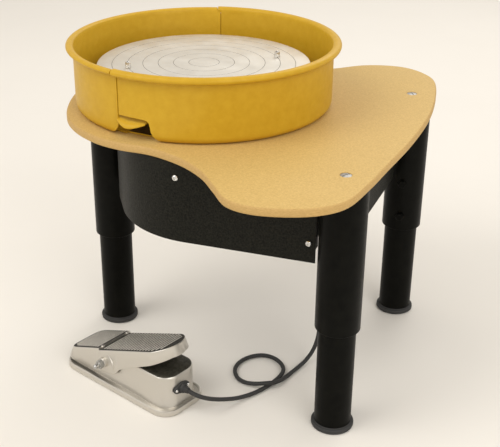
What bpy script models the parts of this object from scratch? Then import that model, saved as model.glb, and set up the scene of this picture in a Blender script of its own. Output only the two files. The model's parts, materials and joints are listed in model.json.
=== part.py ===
"""Electric pottery wheel with a two-piece splash pan and a foot pedal.

Metres, +Z up, floor at z = 0. Lengths are written in millimetres times MM and
are measured from the wheel head's axis; the "assembly" empty then moves the
whole object so that its footprint is centred on the origin.
"""
import math

import bmesh
import bpy
from mathutils import Matrix, Vector

MM = 0.001
GAP = 0.3 * MM                      # clearance between neighbouring solids

# ---------------------------------------------------------------- heights
TABLE_TOP = 424.8 * MM
TABLE_THICKNESS = 13.0 * MM
TABLE_EDGE_ROUND = 3.0 * MM
PLATE_THICKNESS = 3.0 * MM
SHEET_THICKNESS = 2.5 * MM
SKIRT_BOTTOM = 280.0 * MM           # lower edge of the sheet-metal skirts
HEAD_TOP = 491.4 * MM
PAN_RIM_TOP = 533.0 * MM

PLATE_TOP = TABLE_TOP - TABLE_THICKNESS - GAP
PLATE_BOTTOM = PLATE_TOP - PLATE_THICKNESS
FRAME_TOP = PLATE_BOTTOM - GAP      # everything hung below the plate starts here

# ---------------------------------------------------------------- wheel
HEAD_RADIUS = 177.8 * MM            # 14 inch wheel head
HEAD_THICKNESS = 15.0 * MM
HEAD_HUB_RADIUS = 34.0 * MM
HEAD_HUB_BOTTOM = 441.0 * MM
HEAD_RECESS = 3.0 * MM              # the underside is thinner inside its outer band
HEAD_BAND = 12.0 * MM
PIN_CIRCLE_RADIUS = 127.0 * MM      # bat pins on 10 inch centres
PIN_RADIUS = 4.7 * MM
PIN_SHANK_RADIUS = 3.0 * MM
PIN_HEIGHT = 9.4 * MM
PIN_ANGLES = (42.5, 222.5)
SHAFT_RADIUS = 12.7 * MM
SHAFT_BOTTOM = 286.0 * MM
SHAFT_TOP = 469.7 * MM
SHAFT_OPENING = 46.0 * MM           # radius of the hole in board and frame plate
BEARING_RADIUS = 26.0 * MM
BEARING_HEIGHT = 15.0 * MM
BEARING_BOTTOMS = {"bearing_upper": 416.0 * MM, "bearing_lower": 330.0 * MM}
BEARING_SHOULDER_RADIUS = 22.0 * MM
HOUSING_RADIUS = 36.0 * MM
HOUSING_FLANGE_RADIUS = 72.0 * MM
HOUSING_FLANGE = 12.2 * MM
HOUSING_NOSE_RADIUS = 34.0 * MM
HOUSING_BOTTOM = 327.0 * MM
HOUSING_NOSE_TOP = 433.0 * MM

# ---------------------------------------------------------------- drive
PULLEY_RADIUS = 100.0 * MM
PULLEY_BOTTOM = 290.0 * MM
PULLEY_HEIGHT = 26.0 * MM
PULLEY_HUB = 9.0 * MM
PULLEY_RIM = 8.0 * MM
PULLEY_WEB = (8.0 * MM, 16.0 * MM)  # heights of the web's two faces above the bottom
MOTOR_SHAFT_RADIUS = 7.0 * MM
MOTOR_SHAFT_TOP = 332.0 * MM
MOTOR_PULLEY_RADIUS = 20.0 * MM
MOTOR_AXIS = Vector((205.0 * MM, 70.0 * MM))
MOTOR_RADIUS = 58.0 * MM
MOTOR_BOTTOM = 324.0 * MM
BRACKET_THICKNESS = 4.2 * MM
BRACKET_SIZE = 132.0
BELT_THICKNESS = 3.0 * MM
BELT_FLANGE = 3.5 * MM              # pulley flange height beside the belt
BELT_CLEARANCE = 0.9 * MM
BELT_MARGIN = 4.0 * MM              # belt edges to pulley faces

# ---------------------------------------------------------------- splash pan
PAN_WALL_RADIUS = 214.5 * MM
PAN_WALL = 2.5 * MM
PAN_CORNER_RADIUS = 12.0 * MM
PAN_RIM_CENTRE_RADIUS = 219.5 * MM
PAN_RIM_BEAD = 7.4 * MM             # half the rolled rim's width
PAN_RIM_RISE = 5.6 * MM             # half its height
PAN_INNER_RADIUS = 58.0 * MM
PAN_INNER_HEIGHT = 26.0 * MM
PAN_BOTTOM = TABLE_TOP + GAP
FRONT_SEAM = -98.2                  # degrees round the wheel axis
BACK_SEAM = 111.0
NOTCH_END = -83.2
NOTCH_TOP = 459.5 * MM
LIP_BOTTOM = 449.0 * MM
LIP_THICKNESS = 3.0 * MM
LIP_END = -86.0
SEAM_GAP = 0.12                     # degrees

# ---------------------------------------------------------------- legs (centres in millimetres)
LEGS = {"left": (-147.0, -70.0), "front": (333.0, -189.0), "back": (298.0, 203.0)}
LEG_BOLT_ANGLES = {"left": 100.0, "front": 95.0, "back": -79.0}
LEG_SEGMENTS = 24
UPPER_TUBE_RADIUS = 34.6 * MM
LOWER_TUBE_RADIUS = 28.9 * MM
LOWER_TUBE_WALL = 3.0 * MM
UPPER_TUBE_BOTTOM = 177.0 * MM
UPPER_TUBE_LID = 6.0 * MM
LOWER_TUBE_TOP = 330.0 * MM
FOOT_RADIUS = 33.4 * MM
FOOT_HEIGHT = 8.0 * MM
FOOT_PLUG_TOP = 22.0 * MM
BOLT_HEIGHTS = {"lower": 206.0 * MM, "upper": 269.0 * MM}
BOLT_RADIUS = 4.0 * MM
BOLT_HOLE_RADIUS = 4.4 * MM
BOLT_HEAD_RADIUS = 7.4 * MM
BOLT_HEAD_HEIGHT = 5.2 * MM
SCREW_HEAD_RADIUS = 8.5 * MM
SCREW_SINK = 4.9 * MM               # depth of the countersunk head
SCREW_BOTTOM = 398.0 * MM

# ---------------------------------------------------------------- switch gear and controller
PANEL_ENDS = (Vector((316.0 * MM, -147.0 * MM)), Vector((288.5 * MM, 161.0 * MM)))
SWITCH_PLACE = (6.0 * MM, 352.0 * MM)       # y and height on the side panel
INLET_PLACE = (52.0 * MM, 352.0 * MM)
ROCKER_HALF_WIDTH = 7.1
ROCKER_PROFILE = ((-6.0, -4.0), (2.0, -10.0), (6.2, -9.0), (4.2, 0.0), (3.0, 9.2), (-1.0, 10.0), (-6.0, 4.0))
CONTROL_BOX = ((218.0, -150.0), (290.0, -42.0))
CONTROL_BOX_BOTTOM = 300.0 * MM
CONTROL_BOX_WALL = 2.0

# ---------------------------------------------------------------- pedal
# Lengths in this section without MM are millimetres and are scaled where points are made.
PEDAL_PLACE = (-9.3 * MM, -235.5 * MM, 0.0)
PEDAL_TURN = -13.0                  # degrees, heel-to-toe direction
PEDAL_LENGTH = 252.0
PEDAL_WIDTH = 100.0
PEDAL_BASE_HEIGHT = 10.8 * MM
PEDAL_PIVOT = Vector((-29.0 * MM, 0.0, 40.0 * MM))
PEDAL_GLAND = Vector((116.0 * MM, -6.0 * MM, 40.0 * MM))
GLAND_TIP = 134.0 * MM
TREAD_HALF_WIDTH = 37.0
TREAD_TOE_CENTRE = 70.0
TREAD_TOE_RADIUS = 38.5
TREAD_HEEL = -119.0
TREAD_HEEL_ROUND = 15.0
TREAD_STEP = -42.5                  # where the heel part ends and the toe part begins
TREAD_ROOF = 4.0
BOSS_RADIUS = 9.0 * MM
HOUSING_HALF_WIDTH = 38.0
HOUSING_WALL = 3.5
HOUSING_EDGE = 2.5
HOUSING_NECK = 2.5                  # the housing is this much slimmer between the skirts
TREAD_WALL = 2.5
TREAD_SPREAD = 5.0                  # the skirts flare by this much towards their edge
SECTOR_RADIUS = 48.0 * MM
PINION_RADIUS = 7.0 * MM
TOOTH_DEPTH = 0.7 * MM
TOOTH_CLEARANCE = 1.8 * MM

# ---------------------------------------------------------------- pedal cord
CORD_RADIUS = 3.5 * MM
CONTROL_GLAND = (258.0 * MM, -78.0 * MM)
CORD_ROUTE = (                      # millimetres, pedal gland to controller gland
    (120.3, -271.6, 40.0), (131, -274, 39.4), (143, -270, 35), (154, -257, 27),
    (165, -237, 17.5), (176, -214, 9), (187, -191, 4.6), (197, -169, 3.8), (204, -146, 3.8),
    (208, -122, 3.8), (206, -100, 3.8), (194, -83, 3.8), (175, -73, 3.8),
    (155, -74, 3.8), (138, -88, 3.8), (129, -110, 3.8), (131, -134, 3.8),
    (145, -154, 3.8), (164, -163, 5), (184, -164, 9), (201, -158, 11.8),
    (212, -145, 9.5), (217, -124, 5), (221, -98, 3.8), (225, -74, 3.8),
    (229, -57, 7), (235, -46, 19), (241, -43, 38), (246, -46, 62),
    (250, -53, 92), (254, -62, 128), (257, -71, 168), (258, -77, 212),
    (258, -78, 248), (258, -78, 278.4),
)

FOOTPRINT_CENTRE_X = 72.5 * MM      # middle of the footprint, from the wheel axis


# ================================================================ materials
def material(name, colour, roughness, metallic=0.0):
    """A plain Principled material, made once."""
    found = bpy.data.materials.get(name)
    if found:
        return found
    made = bpy.data.materials.new(name)
    made.use_nodes = True
    shader = made.node_tree.nodes["Principled BSDF"]
    shader.inputs["Base Color"].default_value = (*colour, 1.0)
    shader.inputs["Roughness"].default_value = roughness
    shader.inputs["Metallic"].default_value = metallic
    return made


def board_material():
    return material("fibreboard", (0.66, 0.42, 0.17), 0.55)


def black_paint():
    return material("black_paint", (0.012, 0.012, 0.010), 0.5)


def pan_plastic():
    return material("mustard_plastic", (0.56, 0.31, 0.03), 0.35)


def cast_aluminium():
    return material("cast_aluminium", (0.50, 0.48, 0.44), 0.45, 0.9)


def turned_aluminium():
    return material("turned_aluminium", (0.62, 0.61, 0.58), 0.3, 1.0)


def bright_steel():
    return material("bright_steel", (0.58, 0.58, 0.57), 0.25, 1.0)


def cast_iron():
    return material("cast_iron", (0.10, 0.10, 0.10), 0.65, 0.8)


def black_rubber():
    return material("black_rubber", (0.010, 0.010, 0.010), 0.6)


def black_plastic():
    return material("black_plastic", (0.014, 0.014, 0.014), 0.4)


def brass():
    return material("brass", (0.60, 0.42, 0.16), 0.35, 1.0)


# ================================================================ building blocks
def clear_scene():
    for obj in list(bpy.data.objects):
        bpy.data.objects.remove(obj, do_unlink=True)


def empty(name, location=(0.0, 0.0, 0.0), turn=0.0, parent=None):
    made = bpy.data.objects.new(name, None)
    made.location = location
    made.rotation_euler = (0.0, 0.0, math.radians(turn))
    made.parent = parent
    bpy.context.scene.collection.objects.link(made)
    return made


def place(name, shape, look, parent, location, turn=0.0, sharp=40.0):
    """Turn a bmesh, built round its own origin, into a named object at a location."""
    bmesh.ops.remove_doubles(shape, verts=shape.verts, dist=1e-6)
    bmesh.ops.recalc_face_normals(shape, faces=shape.faces)
    mesh = bpy.data.meshes.new(name)
    shape.to_mesh(mesh)
    shape.free()
    mesh.shade_smooth()
    mesh.set_sharp_from_angle(angle=math.radians(sharp))
    mesh.materials.append(look)
    made = bpy.data.objects.new(name, mesh)
    made.location = location
    made.rotation_euler = (0.0, 0.0, math.radians(turn))
    made.parent = parent
    bpy.context.scene.collection.objects.link(made)
    return made


def add(name, shape, look, parent, origin=(0.0, 0.0, 0.0), sharp=40.0):
    """Turn a bmesh, built in its parent's coordinates, into an object with that origin."""
    return place(name, moved(shape, -Vector(origin)), look, parent, origin, sharp=sharp)


def cut(target, tool, operation="DIFFERENCE"):
    """Take the tool away from the target (or join it) with a Boolean modifier."""
    tool.hide_render = True
    tool.display_type = "WIRE"
    step = target.modifiers.new(tool.name, "BOOLEAN")
    step.operation = operation
    step.solver = "EXACT"
    step.object = tool
    return step


def revolve(profile, segments=48, start=0.0, end=360.0, centre=(0.0, 0.0)):
    """Turn a closed (radius, height) profile round a vertical axis."""
    shape = bmesh.new()
    full = abs(end - start) >= 360.0
    count = segments if full else segments + 1
    rings = []
    for index in range(count):
        angle = math.radians(start + (end - start) * index / segments)
        along = (math.cos(angle), math.sin(angle))
        rings.append([
            shape.verts.new((centre[0] + r * along[0], centre[1] + r * along[1], z))
            for r, z in profile
        ])
    loops = list(zip(rings, rings[1:] + rings[:1])) if full else list(zip(rings, rings[1:]))
    points = len(profile)
    for near, far in loops:
        for index in range(points):
            following = (index + 1) % points
            if profile[index][0] == 0.0 and profile[following][0] == 0.0:
                continue
            corners = [near[index], near[following], far[following], far[index]]
            if profile[index][0] == 0.0:
                corners = corners[:3]
            elif profile[following][0] == 0.0:
                corners = [near[index], near[following], far[index]]
            shape.faces.new(corners)
    if not full:
        shape.faces.new(rings[0])
        shape.faces.new(rings[-1])
    return shape


def prism(outline, low, high):
    """A straight prism on a flat outline."""
    return stack([[(x, y, low) for x, y in outline], [(x, y, high) for x, y in outline]])


def skin(rings, closed=False):
    """The side faces between rings of equal point count, and the rings' own vertices."""
    shape = bmesh.new()
    made = [[shape.verts.new(point) for point in ring] for ring in rings]
    count = len(rings[0])
    following = made[1:] + made[:1] if closed else made[1:]
    for lower, upper in zip(made, following):
        for index in range(count):
            after = (index + 1) % count
            shape.faces.new((lower[index], lower[after], upper[after], upper[index]))
    return shape, made


def stack(rings):
    """A closed body from rings, capped at both ends."""
    shape, made = skin(rings)
    shape.faces.new(list(reversed(made[0])))
    shape.faces.new(made[-1])
    return shape


def ring_body(rings):
    """A closed tube that joins its last ring to its first."""
    return skin(rings, closed=True)[0]


def mirrored_stack(rings):
    """Like stack, but the caps are strips between a ring's mirrored points."""
    shape, made = skin(rings)
    count = len(rings[0])
    for ring in (made[0], made[-1]):
        for index in range(count // 2 - 1):
            mirror = count - 1 - index
            shape.faces.new((ring[index], ring[index + 1], ring[mirror - 1], ring[mirror]))
    return shape


def offset(outline, distance, closed=True):
    """Shift each point of an outline sideways, to the left of its direction."""
    moved = []
    count = len(outline)
    for index, (x, y) in enumerate(outline):
        before = outline[index - 1] if closed or index > 0 else (x, y)
        after = outline[(index + 1) % count] if closed or index < count - 1 else (x, y)
        along = Vector((after[0] - before[0], after[1] - before[1])).normalized()
        moved.append((x - along.y * distance, y + along.x * distance))
    return moved


def filleted(corners, closed=True, step=12.0):
    """A path through (x, y, radius) corners in millimetres, rounded by arcs."""
    path = []
    count = len(corners)
    for index, (x, y, radius) in enumerate(corners):
        here = Vector((x, y))
        if radius == 0.0 or (not closed and index in (0, count - 1)):
            path.append((x * MM, y * MM))
            continue
        back = (Vector(corners[index - 1][:2]) - here).normalized()
        ahead = (Vector(corners[(index + 1) % count][:2]) - here).normalized()
        half = back.angle(ahead) / 2.0
        centre = here + (back + ahead).normalized() * radius / math.sin(half)
        first = here + back * radius / math.tan(half) - centre
        last = here + ahead * radius / math.tan(half) - centre
        sweep = first.angle_signed(last)
        steps = max(2, round(abs(math.degrees(sweep)) / step))
        for part in range(steps + 1):
            turned = first.copy()
            turned.rotate(Matrix.Rotation(-sweep * part / steps, 2))
            path.append(((centre.x + turned.x) * MM, (centre.y + turned.y) * MM))
    return path


def rounded_rectangle(centre, width, depth, radius, step=12.0):
    """An anticlockwise outline with round corners; its sizes are in millimetres."""
    signs = ((-1, -1), (1, -1), (1, 1), (-1, 1))
    return filleted([
        (centre[0] + sx * width / 2.0, centre[1] + sy * depth / 2.0, radius) for sx, sy in signs
    ], step=step)


def circle(radius, count=32, centre=(0.0, 0.0)):
    return [
        (centre[0] + radius * math.cos(math.tau * index / count),
         centre[1] + radius * math.sin(math.tau * index / count))
        for index in range(count)
    ]


def smooth_path(points, steps, closed=False):
    """Catmull-Rom curve through the points, with a few samples per stretch."""
    places = [Vector(point) for point in points]
    count = len(places)
    path = []
    stretches = count if closed else count - 1
    for index in range(stretches):
        if closed:
            a, b, c, d = (places[(index + shift) % count] for shift in (-1, 0, 1, 2))
        else:
            b, c = places[index], places[index + 1]
            a = places[index - 1] if index > 0 else b * 2.0 - c
            d = places[index + 2] if index + 2 < count else c * 2.0 - b
        for part in range(steps):
            t = part / steps
            path.append(0.5 * (2 * b + (c - a) * t + (2 * a - 5 * b + 4 * c - d) * t * t
                               + (3 * b - 3 * c + d - a) * t * t * t))
    if not closed:
        path.append(places[-1])
    return path


def rounded_slab(outline, low, high, edge):
    """A slab with softly rounded upper and lower edges; the outline runs anticlockwise."""
    part = edge * 0.3
    levels = ((low, edge), (low + part, part), (low + edge, 0.0),
              (high - edge, 0.0), (high - part, part), (high, edge))
    return stack([[(x, y, z) for x, y in offset(outline, inset)] for z, inset in levels])


def sheet(path, thickness, low, high):
    """An upright sheet of even thickness along an open path."""
    left = offset(path, thickness / 2.0, closed=False)
    right = offset(path, -thickness / 2.0, closed=False)
    return prism(left + right[::-1], low, high)


def rod(radius, low, high, count=20, centre=(0.0, 0.0)):
    return prism(circle(radius, count, centre), low, high)


def turned_x(shape):
    """Stand a body that was built along Z along X instead."""
    quarter = Matrix.Rotation(math.radians(90.0), 4, "Y")
    bmesh.ops.transform(shape, matrix=quarter, verts=shape.verts)
    return shape


def turned_y(shape):
    """Stand a body that was built along Z along Y instead."""
    quarter = Matrix.Rotation(math.radians(-90.0), 4, "X")
    bmesh.ops.transform(shape, matrix=quarter, verts=shape.verts)
    return shape


def moved(shape, shift):
    bmesh.ops.translate(shape, vec=Vector(shift), verts=shape.verts)
    return shape


def block(size, centre=(0.0, 0.0, 0.0)):
    """A box with its sizes and its centre in millimetres."""
    shape = bmesh.new()
    bmesh.ops.create_cube(shape, size=1.0)
    bmesh.ops.scale(shape, vec=Vector(size) * MM, verts=shape.verts)
    return moved(shape, Vector(centre) * MM)


def between(knots, along):
    """The height at a place, on straight lines through (place, height) knots."""
    for (left, low), (right, high) in zip(knots, knots[1:]):
        if along <= right:
            return low + (high - low) * max(0.0, along - left) / (right - left)
    return knots[-1][1]


# ================================================================ table and frame
TABLE_OUTLINE = (                   # millimetres, anticlockwise from the left side
    (-226, 0), (-218, -64), (-191, -125), (-157, -174), (-115, -208), (-64, -230),
    (-16, -236), (30, -232), (70, -238), (110, -252), (150, -276), (186, -309),
    (222, -341), (262, -347), (308, -332), (346, -306), (369, -266), (373, -195),
    (372, -120), (370, -10), (360, 105), (340, 205), (312, 290), (280, 328),
    (240, 347), (200, 343), (160, 322), (122, 279), (84, 247), (44, 234),
    (0, 238), (-60, 230), (-112, 208), (-157, 172), (-192, 124), (-218, 64),
)


def table_outline():
    return [tuple(point * MM) for point in smooth_path(TABLE_OUTLINE, 2, closed=True)]


def build_table(parent):
    low = TABLE_TOP - TABLE_THICKNESS
    board = add("table_top", rounded_slab(table_outline(), low, TABLE_TOP, TABLE_EDGE_ROUND),
                board_material(), parent)
    plate_outline = filleted((
        (-205, -112, 45), (338, -240, 50), (321, 255, 50), (-70, 150, 60), (-205, -8, 50),
    ))
    plate = add("frame_plate", prism(plate_outline, PLATE_BOTTOM, PLATE_TOP), black_paint(), parent)
    under = PLATE_BOTTOM - 10.0 * MM
    above = TABLE_TOP + 5.0 * MM
    bore = add("cutter_shaft_bore", rod(SHAFT_OPENING, under, above, 40), black_paint(), parent)
    cut(board, bore)
    cut(plate, bore)
    for name, spot in LEGS.items():
        centre = (spot[0] * MM, spot[1] * MM)
        sink = revolve((
            (0.0, under), (BOLT_HOLE_RADIUS, under), (BOLT_HOLE_RADIUS, TABLE_TOP - SCREW_SINK - GAP),
            (SCREW_HEAD_RADIUS + GAP, TABLE_TOP - 0.9 * MM), (SCREW_HEAD_RADIUS + GAP, above),
            (0.0, above),
        ), 20, centre=centre)
        tool = add(f"cutter_screw_{name}", sink, black_paint(), parent)
        cut(board, tool)
        cut(plate, tool)
        screw = revolve((
            (0.0, SCREW_BOTTOM), (BOLT_RADIUS, SCREW_BOTTOM), (BOLT_RADIUS, TABLE_TOP - SCREW_SINK),
            (SCREW_HEAD_RADIUS, TABLE_TOP - 0.6 * MM), (SCREW_HEAD_RADIUS, TABLE_TOP),
            (0.0, TABLE_TOP),
        ), 20, centre=centre)
        add(f"table_screw_{name}", screw, bright_steel(), parent)


def build_skirts(parent):
    front = filleted(((296, -198.5, 0), (5.3, -243, 160), (-95, -126, 60), (-106, -86, 0)),
                     closed=False)
    back = filleted(((262, 214, 0), (95, 236, 150), (-75, 200, 110), (-160, 80, 80),
                     (-167, -28, 0)), closed=False)
    made = {}
    for name, path in (("front_apron", front), ("side_panel", PANEL_ENDS), ("rear_panel", back)):
        body = sheet(path, SHEET_THICKNESS, SKIRT_BOTTOM, FRAME_TOP)
        made[name] = add(name, body, black_paint(), parent)
    build_apron_fixings(made["front_apron"], parent)
    build_switch_gear(made["side_panel"], parent)


def round_head_screw():
    """A screw along X: its shank behind the origin, its domed head in front."""
    return turned_x(revolve([(radius * MM, along * MM) for radius, along in (
        (0.0, -11.0), (2.4, -11.0), (2.4, 1.8), (5.2, 1.8), (4.6, 3.6), (2.6, 4.8), (0.0, 5.1))], 20))


def build_apron_fixings(apron, parent):
    """Two round-head screws, each into a bracket behind the apron."""
    places = {"left": ((79.0, -230.3, 385.0), -86.0), "right": ((285.0, -200.5, 311.6), -81.3)}
    for name, (centre, facing) in places.items():
        spot = Vector(centre) * MM
        hole = place(f"cutter_apron_{name}", turned_x(rod(2.8 * MM, -30.0 * MM, 20.0 * MM)),
                     black_paint(), parent, spot, facing)
        cut(apron, hole)
        place(f"apron_screw_{name}", round_head_screw(), bright_steel(), parent, spot, facing)
        bracket = place(f"apron_bracket_{name}", block((12, 22, 20), (-7.9, 0, 0)), black_paint(),
                        parent, spot, facing)
        cut(bracket, hole)


def on_side_panel(y, height):
    """The point of the side panel's middle plane at the given y and height."""
    start, end = PANEL_ENDS
    share = (y - start.y) / (end.y - start.y)
    return Vector((start.x + (end.x - start.x) * share, y, height))


def flanged_body(depth, half_width, half_height, flange_width, flange_height):
    """A body through the side panel, with a bevelled flange in front of it."""
    front = SHEET_THICKNESS / 2.0 + GAP
    levels = (
        (-depth * MM, half_width, half_height), (front, half_width, half_height),
        (front, flange_width, flange_height),
        (front + 2.0 * MM, flange_width - 0.8, flange_height - 0.8),
    )
    corners = ((-1, -1), (1, -1), (1, 1), (-1, 1))
    return stack([
        [(x, sy * y * MM, sz * z * MM) for sy, sz in corners] for x, y, z in levels
    ])


def build_switch_gear(panel, parent):
    """Rocker switch and power inlet on the side panel, facing outwards."""
    run = PANEL_ENDS[1] - PANEL_ENDS[0]
    facing = math.degrees(math.atan2(-run.x, run.y))
    fittings = (
        ("switch_bezel", SWITCH_PLACE, (14, 12, 15, 15, 18), (26, 15, 22)),
        ("power_inlet", INLET_PLACE, (22, 14, 10.5, 20, 12.5), (26, 22, 15)),
    )
    for name, spot, sizes, hollow in fittings:
        centre = on_side_panel(*spot)
        body = place(name, flanged_body(*sizes), black_plastic(), parent, centre, facing)
        cavity = place(f"cutter_{name}_hollow", block(hollow), black_plastic(), parent, centre, facing)
        cut(body, cavity)
        window = block((40, 2 * sizes[1] + 0.6, 2 * sizes[2] + 0.6))
        cut(panel, place(f"cutter_{name}", window, black_paint(), parent, centre, facing))
    rings = [[(x * MM, side * ROCKER_HALF_WIDTH * MM, z * MM) for x, z in ROCKER_PROFILE]
             for side in (-1, 1)]
    place("power_rocker", stack(rings), black_plastic(), parent, on_side_panel(*SWITCH_PLACE), facing)


# ================================================================ legs
def build_leg(name, parent):
    centre = (LEGS[name][0] * MM, LEGS[name][1] * MM)
    bore = LOWER_TUBE_RADIUS + 0.4 * MM
    edge = 1.2 * MM
    lid = FRAME_TOP - UPPER_TUBE_LID
    upper = revolve((
        (BOLT_HOLE_RADIUS, FRAME_TOP), (BOLT_HOLE_RADIUS, lid), (bore, lid), (bore, UPPER_TUBE_BOTTOM),
        (UPPER_TUBE_RADIUS - edge, UPPER_TUBE_BOTTOM), (UPPER_TUBE_RADIUS, UPPER_TUBE_BOTTOM + edge),
        (UPPER_TUBE_RADIUS, FRAME_TOP),
    ), LEG_SEGMENTS, centre=centre)
    tube = add(f"leg_upper_{name}", upper, black_paint(), parent)
    inner = LOWER_TUBE_RADIUS - LOWER_TUBE_WALL
    bottom = FOOT_HEIGHT + GAP
    lower = revolve((
        (inner, bottom), (LOWER_TUBE_RADIUS, bottom), (LOWER_TUBE_RADIUS, LOWER_TUBE_TOP),
        (inner, LOWER_TUBE_TOP),
    ), LEG_SEGMENTS, centre=centre)
    add(f"leg_lower_{name}", lower, black_paint(), parent, (*centre, 0.0))
    rim = 1.5 * MM
    foot = revolve((
        (0.0, 0.0), (FOOT_RADIUS - rim, 0.0), (FOOT_RADIUS, rim), (FOOT_RADIUS, FOOT_HEIGHT - rim),
        (FOOT_RADIUS - rim, FOOT_HEIGHT), (inner - GAP, FOOT_HEIGHT), (inner - GAP, FOOT_PLUG_TOP),
        (0.0, FOOT_PLUG_TOP),
    ), LEG_SEGMENTS, centre=centre)
    add(f"leg_foot_{name}", foot, black_rubber(), parent, (*centre, 0.0))
    for level, height in BOLT_HEIGHTS.items():
        spot = (*centre, height)
        facing = LEG_BOLT_ANGLES[name]
        drill = turned_x(rod(BOLT_RADIUS + GAP, 20.0 * MM, 50.0 * MM, 16))
        cut(tube, place(f"cutter_bolt_{name}_{level}", drill, black_paint(), parent, spot, facing))
        place(f"leg_bolt_{name}_{level}", set_bolt(), black_paint(), parent, spot, facing)


def set_bolt():
    """Shank through the tube wall and a hexagon head outside it."""
    head = UPPER_TUBE_RADIUS + 0.9 * MM
    top = head + BOLT_HEAD_HEIGHT
    levels = ((LOWER_TUBE_RADIUS + GAP, BOLT_RADIUS, False), (head, BOLT_RADIUS, False),
              (head, BOLT_HEAD_RADIUS, True), (top - 0.8 * MM, BOLT_HEAD_RADIUS, True),
              (top, BOLT_HEAD_RADIUS - 1.0 * MM, True))
    sector = math.pi / 3.0
    rings = []
    for along, radius, flats in levels:
        ring = []
        for index in range(24):
            angle = math.tau * index / 24
            reach = radius
            if flats:
                reach *= math.cos(sector / 2.0) / math.cos(angle % sector - sector / 2.0)
            ring.append((along, reach * math.cos(angle), reach * math.sin(angle)))
        rings.append(ring)
    return stack(rings)


# ================================================================ wheel and drive
def build_wheel(parent):
    under = HEAD_TOP - HEAD_THICKNESS
    recess = under + HEAD_RECESS
    bore = SHAFT_RADIUS + GAP
    edge = 1.5 * MM
    disc = revolve((
        (0.0, HEAD_TOP), (0.0, SHAFT_TOP + GAP), (bore, SHAFT_TOP + GAP), (bore, HEAD_HUB_BOTTOM),
        (HEAD_HUB_RADIUS, HEAD_HUB_BOTTOM), (HEAD_HUB_RADIUS + 6.0 * MM, HEAD_HUB_BOTTOM + 25.0 * MM),
        (HEAD_RADIUS * 0.6, recess), (HEAD_RADIUS - HEAD_BAND, recess), (HEAD_RADIUS - HEAD_BAND, under),
        (HEAD_RADIUS, under), (HEAD_RADIUS, HEAD_TOP - edge), (HEAD_RADIUS - edge, HEAD_TOP),
    ), 56)
    head = add("wheel_head", disc, turned_aluminium(), parent)
    for index, angle in enumerate(PIN_ANGLES, start=1):
        turn = math.radians(angle)
        spot = (PIN_CIRCLE_RADIUS * math.cos(turn), PIN_CIRCLE_RADIUS * math.sin(turn))
        hole = rod(PIN_SHANK_RADIUS + 0.4 * MM, under - 10.0 * MM, HEAD_TOP + 10.0 * MM, 16, spot)
        cut(head, add(f"cutter_pin_{index}", hole, black_paint(), parent))
        foot = HEAD_TOP + GAP
        top = HEAD_TOP + PIN_HEIGHT
        pin = revolve((
            (0.0, under - 7.0 * MM), (PIN_SHANK_RADIUS, under - 7.0 * MM), (PIN_SHANK_RADIUS, foot),
            (PIN_RADIUS, foot), (PIN_RADIUS, top - 1.2 * MM), (PIN_RADIUS - 1.2 * MM, top), (0.0, top),
        ), 20, centre=spot)
        add(f"bat_pin_{index}", pin, bright_steel(), parent)
        nut = revolve((
            (PIN_SHANK_RADIUS + GAP, under - 5.5 * MM), (8.0 * MM, under - 5.5 * MM),
            (8.0 * MM, recess - GAP), (PIN_SHANK_RADIUS + GAP, recess - GAP),
        ), 12, centre=spot)
        add(f"bat_pin_nut_{index}", nut, bright_steel(), parent)
    shaft = rod(SHAFT_RADIUS, SHAFT_BOTTOM, SHAFT_TOP, 24)
    add("wheel_shaft", shaft, bright_steel(), parent)


def build_bearings(parent):
    seat = BEARING_RADIUS + GAP
    shoulder = BEARING_SHOULDER_RADIUS
    upper = BEARING_BOTTOMS["bearing_upper"] - GAP
    lower = BEARING_BOTTOMS["bearing_lower"] + BEARING_HEIGHT + GAP
    flange = FRAME_TOP - HOUSING_FLANGE
    housing = revolve((
        (seat, HOUSING_NOSE_TOP), (seat, upper), (shoulder, upper), (shoulder, lower), (seat, lower),
        (seat, HOUSING_BOTTOM), (HOUSING_RADIUS, HOUSING_BOTTOM), (HOUSING_RADIUS + 4.0 * MM, flange),
        (HOUSING_FLANGE_RADIUS, flange), (HOUSING_FLANGE_RADIUS, FRAME_TOP),
        (HOUSING_NOSE_RADIUS, FRAME_TOP), (HOUSING_NOSE_RADIUS, HOUSING_NOSE_TOP),
    ), 28)
    add("bearing_housing", housing, cast_iron(), parent)
    bore = SHAFT_RADIUS + GAP
    for name, bottom in BEARING_BOTTOMS.items():
        top = bottom + BEARING_HEIGHT
        ring = revolve(((bore, bottom), (BEARING_RADIUS, bottom), (BEARING_RADIUS, top), (bore, top)), 24)
        add(name, ring, bright_steel(), parent)


def flanged_pulley(radius, bore, centre):
    """A belt pulley: a rim with two flanges and a hub, with a thin web if it is large."""
    low = PULLEY_BOTTOM
    high = PULLEY_BOTTOM + PULLEY_HEIGHT
    flange = 3.0 * MM
    hub = bore + PULLEY_HUB
    rim = radius - PULLEY_RIM
    large = rim > 2.0 * hub
    web_low, web_high = (low + height for height in PULLEY_WEB)
    profile = [(bore, low), (hub, low)]
    if large:
        profile += [(hub, web_low), (rim, web_low), (rim, low)]
    profile += [(radius + BELT_FLANGE, low), (radius + BELT_FLANGE, low + flange),
                (radius, low + flange), (radius, high - flange),
                (radius + BELT_FLANGE, high - flange), (radius + BELT_FLANGE, high)]
    if large:
        profile += [(rim, high), (rim, web_high), (hub, web_high)]
    profile += [(hub, high), (bore, high)]
    return revolve(profile, 30 if large else 20, centre=centre)


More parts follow.
